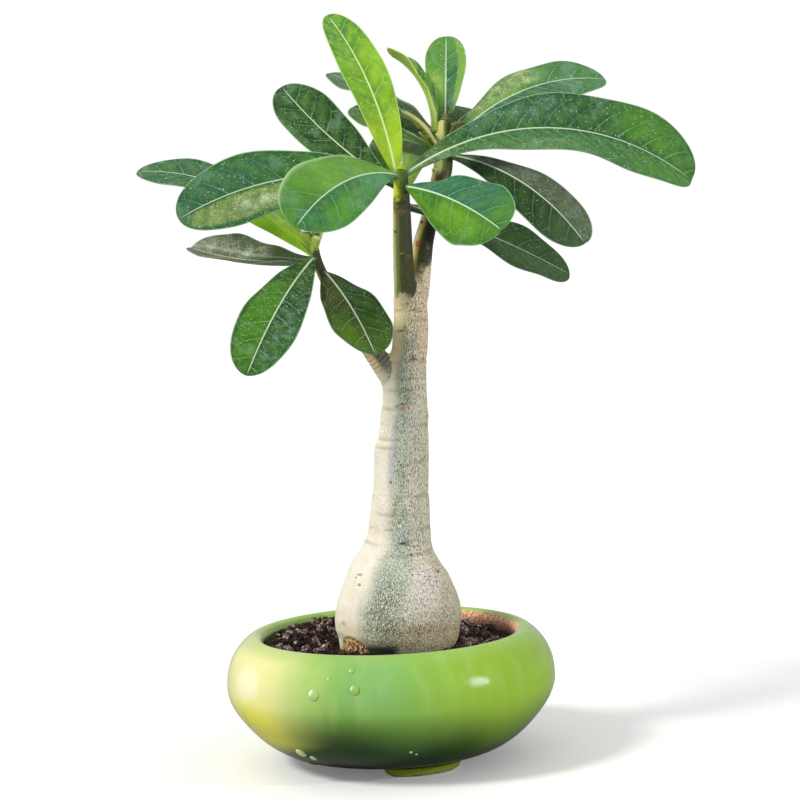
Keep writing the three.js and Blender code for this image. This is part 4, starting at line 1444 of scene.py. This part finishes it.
def leaf_tree():
    """A bent, folded and waved blade with a stalk, a midrib and a quilted face."""
    sockets = {"Around": (WHOLE, 48), "Along": (WHOLE, 96)}
    sockets.update({name: (FLOAT, value) for name, value in LEAF_INPUTS.items()})
    sockets["Finish"] = (FINISH, None)
    tree, g, leave = new_group("leaf_blade", "GeometryNodeTree", sockets, {"Geometry": SHAPE})
    grid = node(tree, "GeometryNodeMeshGrid", {
        "Size X": 1, "Size Y": 1, "Vertices X": g["Around"] + 1, "Vertices Y": g["Along"]})
    across_grid, along_grid, _ = parts(tree, node(tree, "GeometryNodeInputPosition").outputs[0])
    turn = (across_grid + 0.5) * (2 * math.pi)
    row = (along_grid + 0.5) * (g["Along"] - 1)
    # how far along the blade and across it
    root = g["Root"] / g["Length"]
    far = 1 - (1 - (row - 1).at_least(0) / (g["Along"] - 2)).at_least(0) ** 1.45
    u = far * (1 + root) - root
    end_cap = row.at_most(1)
    on_blade = u.at_least(0)
    c = turn.cos()
    t = c * (0.55 + 0.45 * c * c)
    left_half = t.below(-0.001)
    shelf = turn.sin().size() ** 0.35 * (turn.sin().below(0) * -2 + 1)

    # half the width at each place along the blade
    full = g["Taper"] / (g["Taper"] + g["Tip"])
    peak = full ** g["Taper"] * (1 - full) ** g["Tip"]
    rest = (1 - on_blade).at_least(0)
    half = on_blade ** g["Taper"] * rest ** g["Tip"] * g["Width"] / (2 * peak) + g["Stalk"] * rest ** 4

    # the fold at the midrib, the curl and the waves of the margin
    t_size = (t * t + 0.003) ** 0.5 - 0.055
    calm = (3 * on_blade).at_most(1) * (4 * rest).at_most(1)
    phase = 2 * math.pi * g["Waves"] * on_blade + g["Lag"] + left_half * 1.7
    ripple = g["Wave"] * g["Width"] * t * t * phase.sin() * calm
    lift = half * (g["Fold"] * t_size + g["Curl"] * t * t)

    # the side veins, the quilting between them and the ridge over the midrib
    reach = t.size() * (0.8 + 0.35 * t * t)
    vein = g["Veins"] * u - g["Lean"] * reach * half / g["Width"] * 2 + left_half * 0.45
    puff = (0.3 - (vein * (2 * math.pi)).cos()) * g["Quilting"] * t.size() * (1 - t.size()) * 4 * calm
    ridge = (1 - (t.size() * half / 0.8).at_most(1)) ** 1.5 * 0.25 * calm * g["Body"]

    # the thickness, which goes downwards from the face
    rib = (1 - (t.size() * half / 1.9).at_most(1)) ** 1.3 * (1.6 - 1.3 * on_blade)
    thickness = RIB_THICKNESS - (RIB_THICKNESS - MARGIN_THICKNESS) * t * t + rib + 0.6 * rest ** 6
    thin_end = (rest * 12).at_most(1) ** 0.5
    down = thickness * g["Body"] * thin_end * end_cap * (0.5 - shelf * 0.5)

    # the bend along the blade, and its roll round the stalk
    tilt = g["Rise"] - g["Droop"] * u
    out = g["Length"] * (g["Rise"].sin() - tilt.sin()) / g["Droop"]
    high = g["Length"] * (tilt.cos() - g["Rise"].cos()) / g["Droop"]
    aside = half * t * end_cap
    raised = lift + ripple + (puff + ridge) * thin_end - down
    rightward = aside * g["Roll"].cos() - raised * g["Roll"].sin()
    upward = aside * g["Roll"].sin() + raised * g["Roll"].cos()
    place = joined(tree, out - upward * tilt.sin(), rightward * -1, high + upward * tilt.cos())

    # keep the leaf coordinates, bend the grid, turn it to its side and weld its seam
    from_edges = joined(tree, t.size() * half, (1 - t.size()) * half, turn.sin().below(-0.01))
    marked = kept(tree, grid.outputs["Mesh"], "blade", joined(tree, u, t, vein))
    marked = kept(tree, marked, "reach", from_edges)
    bent = node(tree, "GeometryNodeSetPosition", {"Geometry": marked, "Position": place})
    facing = joined(tree, 0.0, 0.0, g["Azimuth"])
    turned_blade = node(tree, "GeometryNodeTransform", {
        "Geometry": bent.outputs[0], "Rotation": facing, "Scale": (MM, MM, MM)})
    welded = node(tree, "GeometryNodeMergeByDistance", {
        "Geometry": turned_blade.outputs[0], "Distance": WELD_LEAF})
    done = node(tree, "GeometryNodeSetMaterial", {"Geometry": welded.outputs[0], "Material": g["Finish"]})
    plug(tree, done.outputs[0], leave.inputs[0])
    return tree


LEAF_BLADE = leaf_tree()
print("the leaf tree has", len(LEAF_BLADE.nodes), "nodes")

# %% [markdown]
# ## Veins and specks
# A pale midrib sends fine side veins to a thin pale margin, near which they meet in loops. Dried water
# has left white specks. The vein pattern must follow the blade and not the room, so it is drawn from
# the numbers that the leaf tree kept on every point, in one shader group that all leaves share.
# %% Draw the veins and specks of a blade
def markings_group():
    """Midrib, side veins, margin, white specks, soft patches and painted sheen of a blade, each as a mask."""
    tree, g, leave = new_group("blade_markings", "ShaderNodeTree", {
        "Blade": (VECTOR, None), "Reach": (VECTOR, None), "Place": (VECTOR, None), "Specks": (FLOAT, 0.1)}, {
        "Midrib": FLOAT, "Veins": FLOAT, "Net": FLOAT, "Margin": FLOAT, "Dots": FLOAT, "Patch": FLOAT,
        "Mottle": FLOAT, "Sheen": FLOAT, "Quilt": FLOAT})
    u, t, vein = parts(tree, g["Blade"])
    off_rib, off_margin, _ = parts(tree, g["Reach"])
    # side veins, the thinner ones between them and the loops that join them
    wobble = node(tree, "ShaderNodeTexNoise", {"Vector": g["Place"], "Scale": 90.0, "Detail": 2.0})
    sway = (Number(tree, wobble.outputs[0]) - 0.5) * 0.16
    width = 0.034 - 0.024 * t.size()
    away = ((vein + sway).math("FRACT") - 0.5).size()
    side_veins = climb(0.5 - away, width, width * 0.3) * climb(off_margin, 0.8, 2.6)
    between = ((vein + sway * 2 + 0.5).math("FRACT") - 0.5).size()
    thin = climb(0.5 - between, width * 0.8, 0.0) * 0.35 * climb(off_margin, 2.0, 4.0)
    arch = off_margin - 2.3 - ((vein + sway) * (2 * math.pi)).cos() * 1.1
    loop = climb(arch.size(), 0.2, 0.05) * 0.6
    broken = patches(tree, g["Place"], 90, 0.3, 0.6)
    veins = (side_veins + thin + loop).at_most(1) * (0.35 + 0.65 * broken) * climb(u, 0.08, 0.2)
    # the fine net, the midrib and the margin
    cells = node(tree, "ShaderNodeTexVoronoi", {
        "Vector": g["Place"], "Scale": 700.0}, feature="DISTANCE_TO_EDGE")
    net = climb(Number(tree, cells.outputs[0]), 0.09, 0.0) * climb(off_margin, 0.2, 1.2)
    midrib = climb(off_rib, 0.58 - 0.32 * u, 0.3 - 0.2 * u) * climb(u, 1.0, 0.94)
    margin = climb(off_margin, 0.6, 0.25) * climb(u, 0.1, 0.2)
    # specks, patches and the swelling between the veins
    fine, = effect(tree, SPECKS, Place=g["Place"], Scale=800.0, Size=0.2, Share=g["Specks"])
    large, = effect(tree, SPECKS, Place=g["Place"], Scale=330.0, Size=0.12, Share=g["Specks"] * 0.5)
    crowd = patches(tree, g["Place"], 38, 0.34, 0.54)
    patch = patches(tree, g["Place"], 75, 0.35, 0.65)
    mottle = patches(tree, g["Place"], 420, 0.46, 0.66, detail=5)
    # painted sheen: pale patches that stand for the sky's reflection on the gloss
    sheen = patches(tree, g["Place"], 105, 0.55, 0.68)
    quilt = climb(1 - 2 * away, 0.1, 0.9) * climb(t.size(), 0.04, 0.2) * climb(t.size(), 0.95, 0.7)
    masks = (midrib, veins, net, margin, fine.at_least(large) * crowd, patch, mottle, sheen, quilt)
    for slot, mask in zip(leave.inputs, masks):
        plug(tree, mask, slot)
    return tree


MARKINGS = markings_group()
print("the markings of a blade take", len(MARKINGS.nodes), "nodes")

# %% [markdown]
# ## The colours of each leaf
# No two leaves have the same green: old ones are deep green, the newest are lime and some are dusty. The
# colours of each leaf's halves are partly painted light and shade, and some washes are painted sheen,
# shade and light. Six kinds of skin say how specked, dusty and glossy a leaf is. The washes are laid on
# single leaves, each over a part of the blade, as one would glaze a painted model.
# %% List the skins and washes
SKINS = {
    # share of specks, amounts of dust, mottling and painted sheen, gloss,
    # and the colours of mottling, veins, rib and underside
    "clean": (0.3, 0.0, 0.22, 0.16, 0.36, "7fb63c", "9dc48c", "d4e8c8", "6f9a62"),
    "specked": (0.8, 0.03, 0.4, 0.2, 0.38, "6ca044", "9dc48c", "cfe2c2", "6f9a62"),
    "dusty": (0.9, 1.0, 0.3, 0.2, 0.5, "6f8a4a", "c3cbb0", "dde0cd", "74906a"),
    "young": (0.2, 0.0, 0.4, 0.06, 0.34, "b4e03c", "cdea80", "e4f4b4", "b5d565"),
    "lime": (0.3, 0.0, 0.3, 0.04, 0.36, "b4e03c", "b8e060", "ccf468", "a8d048"),
    "dark": (0.5, 0.0, 0.25, 0.02, 0.46, "5f7f40", "86a083", "c2d0b8", "4f6448"),
}
WASHES = {
    # colour, amount, from and to along the blade, from and to across it, how cloudy
    # front_1's second wash is a painted shadow in the crease beside the midrib
    "front_1": [("b4d628", 0.8, 0, 0.3, -1.1, 1.1, 0.2), ("4f8a14", 0.5, 0.25, 0.85, 0.03, 0.22, 0),
                ("3c8048", 0.6, 0.82, 1.1, -1.1, 1.1, 0.5)],
    "front_2": [("5f9650", 0.5, 0.3, 0.8, -1.1, -0.75, 0.3), ("3f6e22", 0.5, 0.5, 0.9, -0.5, 0.5, 1)],
    # front_3's first wash is a painted sheen
    "front_3": [("5f9a8e", 0.5, 0.02, 0.4, -0.9, 0, 0.6), ("5aa024", 0.6, 0.4, 0.85, -0.9, -0.35, 0.7),
                ("2a6a4c", 0.7, 0.82, 1.05, -0.8, 0.2, 0.3), ("2a6a4c", 0.5, 0.45, 0.9, -0.3, -0.02, 0.3),
                ("c4dca4", 0.75, 0.25, 0.95, 0.93, 1.1, 0.1), ("8fbf5a", 0.4, 0.1, 0.6, 0.2, 0.8, 0.8)],
    "front_4": [("6f9048", 0.75, 0.4, 0.95, -0.85, -0.1, 0.3),
                ("cdd08e", 0.85, 0.42, 0.93, -0.8, -0.12, 1),
                ("f0f2d0", 0.8, 0.5, 0.75, -0.65, -0.35, 1), ("35685e", 0.6, 0.55, 0.97, 0.08, 0.85, 0.5),
                ("2b5a40", 0.7, 0.4, 1, -1.1, -0.88, 0.2)],
    # front_5's third wash, pale blue-grey, is a painted sheen
    "front_5": [("4f9018", 0.8, 0.72, 0.92, -0.95, -0.2, 0.5), ("48861c", 0.5, 0.8, 1, 0.1, 0.9, 0.5),
                ("7ba69c", 0.45, 0.3, 0.52, -0.9, -0.3, 1), ("87a26c", 0.5, 0.25, 0.6, 0.45, 1, 0.9),
                ("7c8a44", 0.6, -0.1, 0.14, -1.1, 1.1, 0.4)],
    "front_6": [("236a50", 0.85, 0.05, 0.8, -1.1, -0.06, 0.3), ("3c6414", 0.6, 0.25, 0.55, 0.8, 1.1, 0.2),
                ("1f6a1c", 0.6, 0, 0.4, 0.05, 0.6, 0.3), ("86c42e", 0.5, 0.45, 0.9, 0.2, 0.75, 0.8)],
    "front_7": [("4b5020", 0.9, -0.1, 0.25, -1.1, 1.1, 0.2)],
    "front_8": [("9cc01c", 0.7, 0.1, 0.6, 0.02, 0.25, 0.1)],
    "back_1": [("868b7c", 0.65, 0.05, 1.1, -1.1, -0.06, 1), ("1f331c", 0.6, 0.15, 0.75, 0.06, 1, 0.3)],
    "back_2": [("d4d89a", 0.9, 0.18, 0.62, -0.98, -0.25, 1), ("2c5c4c", 0.5, 0.15, 0.5, -1.1, -0.8, 0.3),
               ("28401c", 0.8, -0.1, 0.15, -1.1, 1.1, 0.2), ("a4c060", 0.5, 0.1, 0.5, -0.3, 0, 0.2)],
    # back_3's first wash is painted shade at the foot of the blade
    "back_3": [("394420", 0.85, -0.1, 0.22, -1.1, 1.1, 0.2), ("94c24e", 0.8, 0.25, 0.97, 0.6, 1.1, 0.3),
               ("c0d070", 0.6, 0.35, 0.6, -0.8, -0.2, 0.7)],
    "back_4": [("f4f2b4", 0.85, 0, 0.95, -1.1, -0.55, 0.3), ("6aa82c", 0.7, 0, 0.5, -0.5, 0.3, 0.2)],
    "back_5": [("e2d490", 0.75, -0.1, 0.3, -0.2, 1.1, 0.9), ("e8e6a8", 0.7, 0.2, 0.8, 0.8, 1.1, 0.3)],
    "back_7": [("34480e", 0.6, 0.45, 1.1, -1.1, 1.1, 0.4)],
    # left_2's wash is the young base's lime, painted brighter for light shining through it
    "left_2": [("ccff38", 0.97, -0.1, 0.45, -1.1, 1.1, 0)],
    "left_3": [("2f5214", 0.8, 0, 0.38, -1.1, 1.1, 0.4), ("4a4e40", 0.7, 0, 1.1, -1.1, 0.22, 0.4),
               ("f0f2e0", 0.9, 0.12, 0.92, 0.28, 0.34, 0.1)],
    "left_4": [("488400", 0.85, 0.3, 0.93, 0.04, 0.85, 0.4), ("1c4416", 0.7, 0.05, 0.32, 0.2, 1.1, 0.3),
               ("104434", 0.65, 0.35, 0.95, -0.95, -0.1, 0.5)],
    "left_5": [("3c3210", 0.6, 0, 0.4, 0.15, 1.1, 0.4), ("57841c", 0.5, 0.6, 0.97, 0.3, 0.9, 0.6),
               ("1a3c00", 0.6, 0.1, 0.8, -0.9, -0.1, 0.5)],
}
wash_count = sum(len(washes) for washes in WASHES.values())
print(len(SKINS), "skins, and", wash_count, "washes on", len(WASHES), "leaves")

# %% [markdown]
# ## Mix a leaf finish
# The leaves are leathery and glossy. The finish starts with the colour of each half and of the tip,
# which is partly painted light and shade, and lays dust, washes, mottling, a painted sheen, veins and
# specks over it, one after the other. Two leaves of the branch let some light through, which a little
# glow and a brighter lime stand for.
# %% Write the leaf finish
SHINES_THROUGH = {"blade_left_1": 0.11, "blade_left_2": 0.1}


def carried(tree, name):
    """A vector that the mesh carries at every point."""
    read = node(tree, "ShaderNodeAttribute", attribute_name=name, attribute_type="GEOMETRY")
    return read.outputs["Vector"]


def leaf_finish(name, right, left, tip, skin, washes=()):
    """A leathery leaf: the colours of its halves and tip, the skin over them and its washes."""
    specks, dust, mottling, shine, gloss, glow, vein, rib, under = SKINS[skin]
    material, tree, surface = simple_material(name, shade(right), gloss)
    place, _ = object_place(tree)
    blade = carried(tree, "blade")
    edges = carried(tree, "reach")
    u, t, _ = parts(tree, blade)
    _, _, below = parts(tree, edges)
    midrib, veins, net, margin, dots, patch, mottle, sheen, quilt = effect(
        tree, MARKINGS, Blade=blade, Reach=edges, Place=place, Specks=specks)
    # the halves differ partly by painted light and shade, as the fold turns them differently to the light
    body = tinted(tree, climb(t, 0.1, -0.1), right, left)
    body = tinted(tree, climb(u, 0.55, 0.9) * 0.8, body, tip)
    coarse = patches(tree, place, 230, 0.36, 0.64, detail=4)
    grain = patches(tree, place, 1300, 0.42, 0.6, detail=2)
    cloud = (coarse * 0.7 + 0.3) * (grain * 0.7 + 0.3)
    body = tinted(tree, cloud * dust, body, "eef0de")
    for colour, amount, u_from, u_to, t_from, t_to, cloudy in washes:
        spread = zone(u, u_from, u_to, 0.07) * zone(t, t_from, t_to, 0.08)
        cover = spread * (cloud * (amount * cloudy) + amount * (1 - cloudy))
        body = tinted(tree, cover, body, colour)
    body = tinted(tree, patch * 0.3, body, "1c4a22")
    body = tinted(tree, quilt * mottling * 0.5, body, glow)
    body = tinted(tree, mottle * mottling * 0.6, body, glow)
    # painted sheen: pale bluish patches for the sky's reflection
    body = tinted(tree, sheen * shine, body, "86aaa0")
    body = tinted(tree, net * 0.1, body, vein)
    body = tinted(tree, below * 0.85, body, under)
    body = tinted(tree, veins * 0.6, body, vein)
    body = tinted(tree, margin * 0.7, body, vein)
    body = tinted(tree, midrib * 0.9, body, rib)
    body = tinted(tree, climb(u, 0.05, -0.02) * 0.85, body, under)
    body = tinted(tree, dots * (1 - below) * 0.9, body, "eef3e6")
    plug(tree, body, surface.inputs["Base Color"])
    if name in SHINES_THROUGH:
        plug(tree, body, surface.inputs["Emission Color"])
        surface.inputs["Emission Strength"].default_value = SHINES_THROUGH[name]
    roughness = gloss + dots * 0.3 + cloud * dust * 0.4 + below * 0.2 + patch * 0.08
    plug(tree, roughness, surface.inputs["Roughness"])
    bumped(tree, surface, veins * -0.4 + midrib * 0.4 + net * -0.1 + dots * 0.3 + mottle * 0.1, 0.0004, 0.5)
    surface.inputs["Specular IOR Level"].default_value = 0.12
    return material


print("light comes through", ", ".join(SHINES_THROUGH))

# %% [markdown]
# ## Twenty leaves in three rosettes
# Each leaf takes the same tree with its own direction, rise, droop, roll and size, read off the
# picture. The finished blade is slid so that its box lies on the box of the solid leaf of that name,
# and its stalk is a little longer than the solid's, so that it sinks into the stem that carries it.
# %% Grow the leaves
LEAVES = [
    # name, colours of right half, left half and tip, skin, azimuth, rise, droop and roll in degrees,
    # length and width in millimetres, fold, and the rest
    # the half colours are partly painted light and shade; back_7 and left_5 are darker with painted shade,
    # and left_1 is brighter lime with painted light shining through it
    ("front_1", "86bc38 6ea834 468838 young", 131, 77, 34, 30, 81, 19, 0.3, {"Taper": 0.75}),
    ("front_2", "0e3716 133a1c 214827 specked", 141, 28, -18, 40, 76, 25, 0.15, {}),
    ("front_3", "6ba23e 3a7840 448030 clean", -125, 7, 46, 44, 77, 33, 0.12, {"Wave": 0.02}),
    ("front_4", "26602a 356a32 2c6242 specked", 181, 13, 42, 65, 94, 31, 0.1, {}),
    ("front_5", "2f623a 1e4e2d 356c28 specked", 14, 32, 71, -55, 136, 37, 0.3, {
        "Taper": 1.2, "Tip": 0.42, "Wave": 0.04}),
    ("front_6", "4e8412 2d6056 427e26 clean", -57, -7, 20, -48, 69, 31, 0.1, {"Curl": -0.2, "Wave": 0.05}),
    ("front_7", "365426 2c4c22 36562c dark", 20, -19.5, 9, -42, 79, 31, 0.1, {}),
    ("front_8", "74941a 5f8e28 4c7010 specked", 88, 26, 6, 0, 78, 29, 0.1, {}),
    ("back_1", "28401f 3e4037 40543a dark", -36, -11, 42, -50, 77, 22, -0.35, {}),
    ("back_2", "346456 4a7c44 36703e specked", 20, 44, 50, -35, 80, 28, 0.1, {}),
    ("back_3", "326648 66a238 5a9644 specked", 83, 57, -5, 0, 47, 18, 0.25, {}),
    ("back_4", "387438 b4d45c 34643a young", 144, 83, 60, -15, 43, 16, 0.35, {}),
    ("back_5", "3c6644 42684a 466458 specked", 138, 33, 12, 10, 70, 20, 0.1, {"Wave": 0.05}),
    ("back_6", "4c7030 5a8636 4a7032 specked", 130, 26, 9, 25, 61, 18, 0.1, {}),
    ("back_7", "1e4c04 22580a 3c5e0c dark", 70, 27, 18, 0, 44, 23, 0.4, {}),
    ("left_1", "c8f838 c0f430 b0e828 lime", 139, 34, 5, 50, 58, 14, 0.3, {}),
    ("left_2", "24563a 26583e 24543a specked", 160, 47, 46, 27, 88, 25, 0.1, {}),
    ("left_3", "56643e 44581c 667052 dusty", 148, -6, -24, 22, 64, 24, 0.5, {}),
    ("left_4", "205406 123614 205206 specked", -109, -19, 20, 20, 91, 25, 0.15, {"Taper": 1}),
    ("left_5", "343c04 1c2e00 426008 dark", -66, -24, 21, -5, 59, 26, 0.1, {"Taper": 1, "Tip": 0.55}),
]
VEIN_GAP = 11.5


def stored(mesh, name):
    """The vectors that a mesh carries under a name."""
    flat = np.empty(len(mesh.vertices) * 3, np.float32)
    mesh.attributes[name].data.foreach_get("vector", flat)
    return flat.reshape(-1, 3)


def grow_leaf(number, name, looks, azimuth, rise, droop, roll, length, width, fold, extra):
    """One leaf on the place of its solid."""
    veins = round(length / VEIN_GAP)
    values = {
        **LEAF_INPUTS, "Azimuth": math.radians(azimuth), "Rise": math.radians(rise),
        "Droop": math.radians(droop), "Roll": math.radians(roll), "Length": length, "Width": width,
        "Fold": fold, "Lag": 1.3 * number, "Veins": veins, "Lean": veins * width / (2.2 * length), **extra}
    values = {label: float(value) for label, value in values.items()}
    piece_name = "blade_" + name
    values["Finish"] = leaf_finish(piece_name, *looks.split(), WASHES.get(name, ()))
    mesh = grown(piece_name, LEAF_BLADE, values)
    points = point_array(mesh)
    beyond_seat = points[stored(mesh, "blade")[:, 0] >= 0]
    own = Vector((beyond_seat.min(axis=0) + beyond_seat.max(axis=0)) / 2)
    lowest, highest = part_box("leaf_" + name)
    wanted = (Vector(lowest) + Vector(highest)) / 2
    mesh.transform(Matrix.Translation(wanted - own))
    finish_piece(piece_name, mesh, ["leaf_" + name])


for number, leaf in enumerate(LEAVES):
    grow_leaf(number, *leaf)

# %% [markdown]
# ## Growing tips
# A stem ends in a bud: folded leaflets round a small cone. The leaflets are the same blade, only a few
# millimetres long, so the leaf tree makes them too, turned from one to the next by the angle that
# leaves follow on a stem.
# %% Fold the buds
LEAF_TURN = 137.5


def bud_core(name, size, end_radius):
    """The middle of a bud and the point it grows from."""
    x, y, z, _ = STEMS[name][-1]
    rings = []
    for k in range(13):
        rise = k / 12
        radius = end_radius * (1 - rise ** 1.6) * 0.8 + 0.06
        rings.append([(
            x + radius * math.cos(2 * math.pi * i / 20), y + radius * math.sin(2 * math.pi * i / 20),
            z + 0.2 + size * rise) for i in range(20)])
    return mesh_of("bud_core", shell(rings)), Vector((x, y, z + 0.3))


def add_leaflets(body, base, leaflets, number=0):
    """Joins small curled leaves to a body, each with its own direction, size, rise, droop and curl."""
    for i, (azimuth, length, width, rise, droop, curl) in enumerate(leaflets):
        values = {
            **LEAF_INPUTS, "Azimuth": math.radians(azimuth), "Rise": math.radians(rise),
            "Droop": math.radians(droop), "Length": length, "Width": width, "Fold": 0.7, "Curl": curl,
            "Stalk": 0.45, "Body": 0.3, "Root": 0.4, "Quilting": 0.0, "Veins": 5, "Lean": 0.4, "Taper": 0.7,
            "Lag": number + i}
        leaflet = grown("leaflet", LEAF_BLADE, {
            **{label: float(value) for label, value in values.items()}, "Around": 20, "Along": 26})
        leaflet.transform(Matrix.Translation(at(*base)))
        body.from_mesh(leaflet)


def finish_body(name, body, replaced, material):
    """Turns a body into a finished piece."""
    mesh = bpy.data.meshes.new(name)
    body.to_mesh(mesh)
    body.free()
    finish_piece(name, mesh, replaced, material)


def fold_bud(name, size, leaflets, material):
    """A bud of leaflets round its core, in place of the solid bud."""
    core, base = bud_core(name, size, STEMS[name][-1][3])
    body = bmesh.new()
    body.from_mesh(core)
    add_leaflets(body, base, [(40 + i * LEAF_TURN, *leaflet, 0.0) for i, leaflet in enumerate(leaflets)])
    finish_body("folded_bud_" + name, body, ["bud_" + name], material)


def tip_finish(name, face, second, tip, edge=None):
    """Soft new growth, paler at its tips and, where an edge colour is given, at its margins."""
    material, tree, surface = simple_material(name, shade(face), 0.45)
    place, _ = object_place(tree)
    u, _, _ = parts(tree, carried(tree, "blade"))
    patch = patches(tree, place, 500, 0.35, 0.65)
    body = tinted(tree, patch, face, second)
    body = tinted(tree, climb(u, 0.55, 0.95) * 0.7, body, tip)
    if edge:
        _, off_margin, _ = parts(tree, carried(tree, "reach"))
        body = tinted(tree, climb(off_margin, 0.9, 0.4) * climb(u, 0.05, 0.2) * 0.9, body, edge)
    plug(tree, body, surface.inputs["Base Color"])
    bumped(tree, surface, patch, 0.0003, 0.5)
    surface.inputs["Subsurface Weight"].default_value = 0.08
    surface.inputs["Subsurface Radius"].default_value = (0.002, 0.003, 0.001)
    return material


fold_bud("front", 2.6, [(3.2, 1.8, 84, 20), (3.0, 1.8, 80, 24), (2.6, 1.6, 86, 10), (2.4, 1.5, 80, 14)],
         tip_finish("front_tip", "a3bf3a", "8fb02c", "cfd98a"))
fold_bud("back", 2.2, [(2.8, 1.8, 84, 20), (2.6, 1.8, 80, 24), (2.3, 1.5, 86, 10)],
         tip_finish("back_tip", "6c7430", "4e5822", "8e8c4c"))
fold_bud("left", 3.0, [
    (6.6, 2.6, 80, 20), (5.6, 2.4, 74, 14), (6.2, 2.3, 78, 24), (4.6, 2.0, 84, 6), (3.6, 1.8, 86, 0)],
    tip_finish("left_tip", "b5cf4a", "9dbb3a", "e0a8a0"))

# %% [markdown]
# ## Half-grown leaves
# Just under the buds stand a few half-grown leaves that are still curled up. They are larger leaflets of
# the same kind, with more curl. The list gives for each its azimuth, length, width, rise, droop and
# curl, and the height on the stem where it grows.
# %% Curl the half-grown leaves
def curled_leaves(name, spots, material):
    """Half-grown leaves that stand round the stems at some heights."""
    body = bmesh.new()
    for stem, height, leaflets in spots:
        run = rounded_run(STEMS[stem])
        x, y = (float(np.interp(height, run[:, 2], run[:, k])) for k in (0, 1))
        add_leaflets(body, (x, y, height), leaflets, 3)
    finish_body(name, body, (), material)


curled_leaves("pale_curled_leaves", [
    ("back", 253, [(-164, 29, 4.0, 63, 24, 0.6), (178, 17, 3.4, 58, 10, 0.6), (-150, 13, 3.6, 80, 10, 0.6)]),
    ("back", 243, [(-170, 8, 4, 76, 10, 0.8)])],
    tip_finish("pale_curl", "a6ac3c", "545e14", "bcc25e", "fbf6b4"))
curled_leaves("olive_curled_leaves", [
    ("back", 254, [(18, 19, 13, 56, 10, 0.4), (-72, 12, 9, 78, 0, 0.5), (-20, 14, 9, 68, 0, 0.5)])],
    tip_finish("olive_curl", "607c2e", "42581a", "7a923c", "9ea458"))
curled_leaves("lime_curled_leaves", [
    ("left", 216, [(165, 12, 5, 66, 30, 0.7), (-70, 10, 4.5, 60, 30, 0.7), (40, 11, 5, 70, 12, 0.6)])],
    tip_finish("lime_curl", "c4dc58", "a0c83c", "eef6b4"))

# %% [markdown]
# ## Leaf scars on the stems
# Below each rosette the stems are knobbly where leaves have dropped. The scars stand round the stem at
# the same turning angle as the leaves do, so a short rule places them, and the tree that set the beads
# of water on the bowl sets these too.
# %% Set the leaf scars
SCARRED = {"front": (203, 233), "back": (206, 244), "left": (182, 206)}
SCAR_STEP = 5.2


def scar_points():
    """Points down the stems, with the way out of the stem and the size of each scar."""
    places = []
    facings = []
    sizes = []
    for name, (lowest, highest) in SCARRED.items():
        run = rounded_run(STEMS[name])
        count = int((highest - lowest) / SCAR_STEP)
        for i in range(count):
            z = lowest + SCAR_STEP * i
            x, y, radius = (float(np.interp(z, run[:, 2], run[:, k])) for k in (0, 1, 3))
            turn = math.radians(30 + LEAF_TURN * i)
            out = Vector((math.cos(turn), math.sin(turn), 0.25)).normalized()
            places.append(at(x, y, z) + out * radius * 0.97 * MM)
            facings.append(out)
            sizes.append(radius * 0.5 * MM)
    return studded_points("scar_points", places, facings, sizes)


def scar_finish():
    """Corky scars: tan rims with a darker middle."""
    material, tree, surface = simple_material("leaf_scar", shade("7d7650"), 0.7)
    place, _ = object_place(tree)
    patch = patches(tree, place, 700, 0.4, 0.6)
    plug(tree, tinted(tree, patch, "3f3c22", "79744a"), surface.inputs["Base Color"])
    bumped(tree, surface, patch, 0.0003, 0.7)
    return material


scars = grown("leaf_scars", STUDS, {"Flatness": 0.2, "Finish": scar_finish()}, scar_points())
finish_piece("leaf_scars", scars)
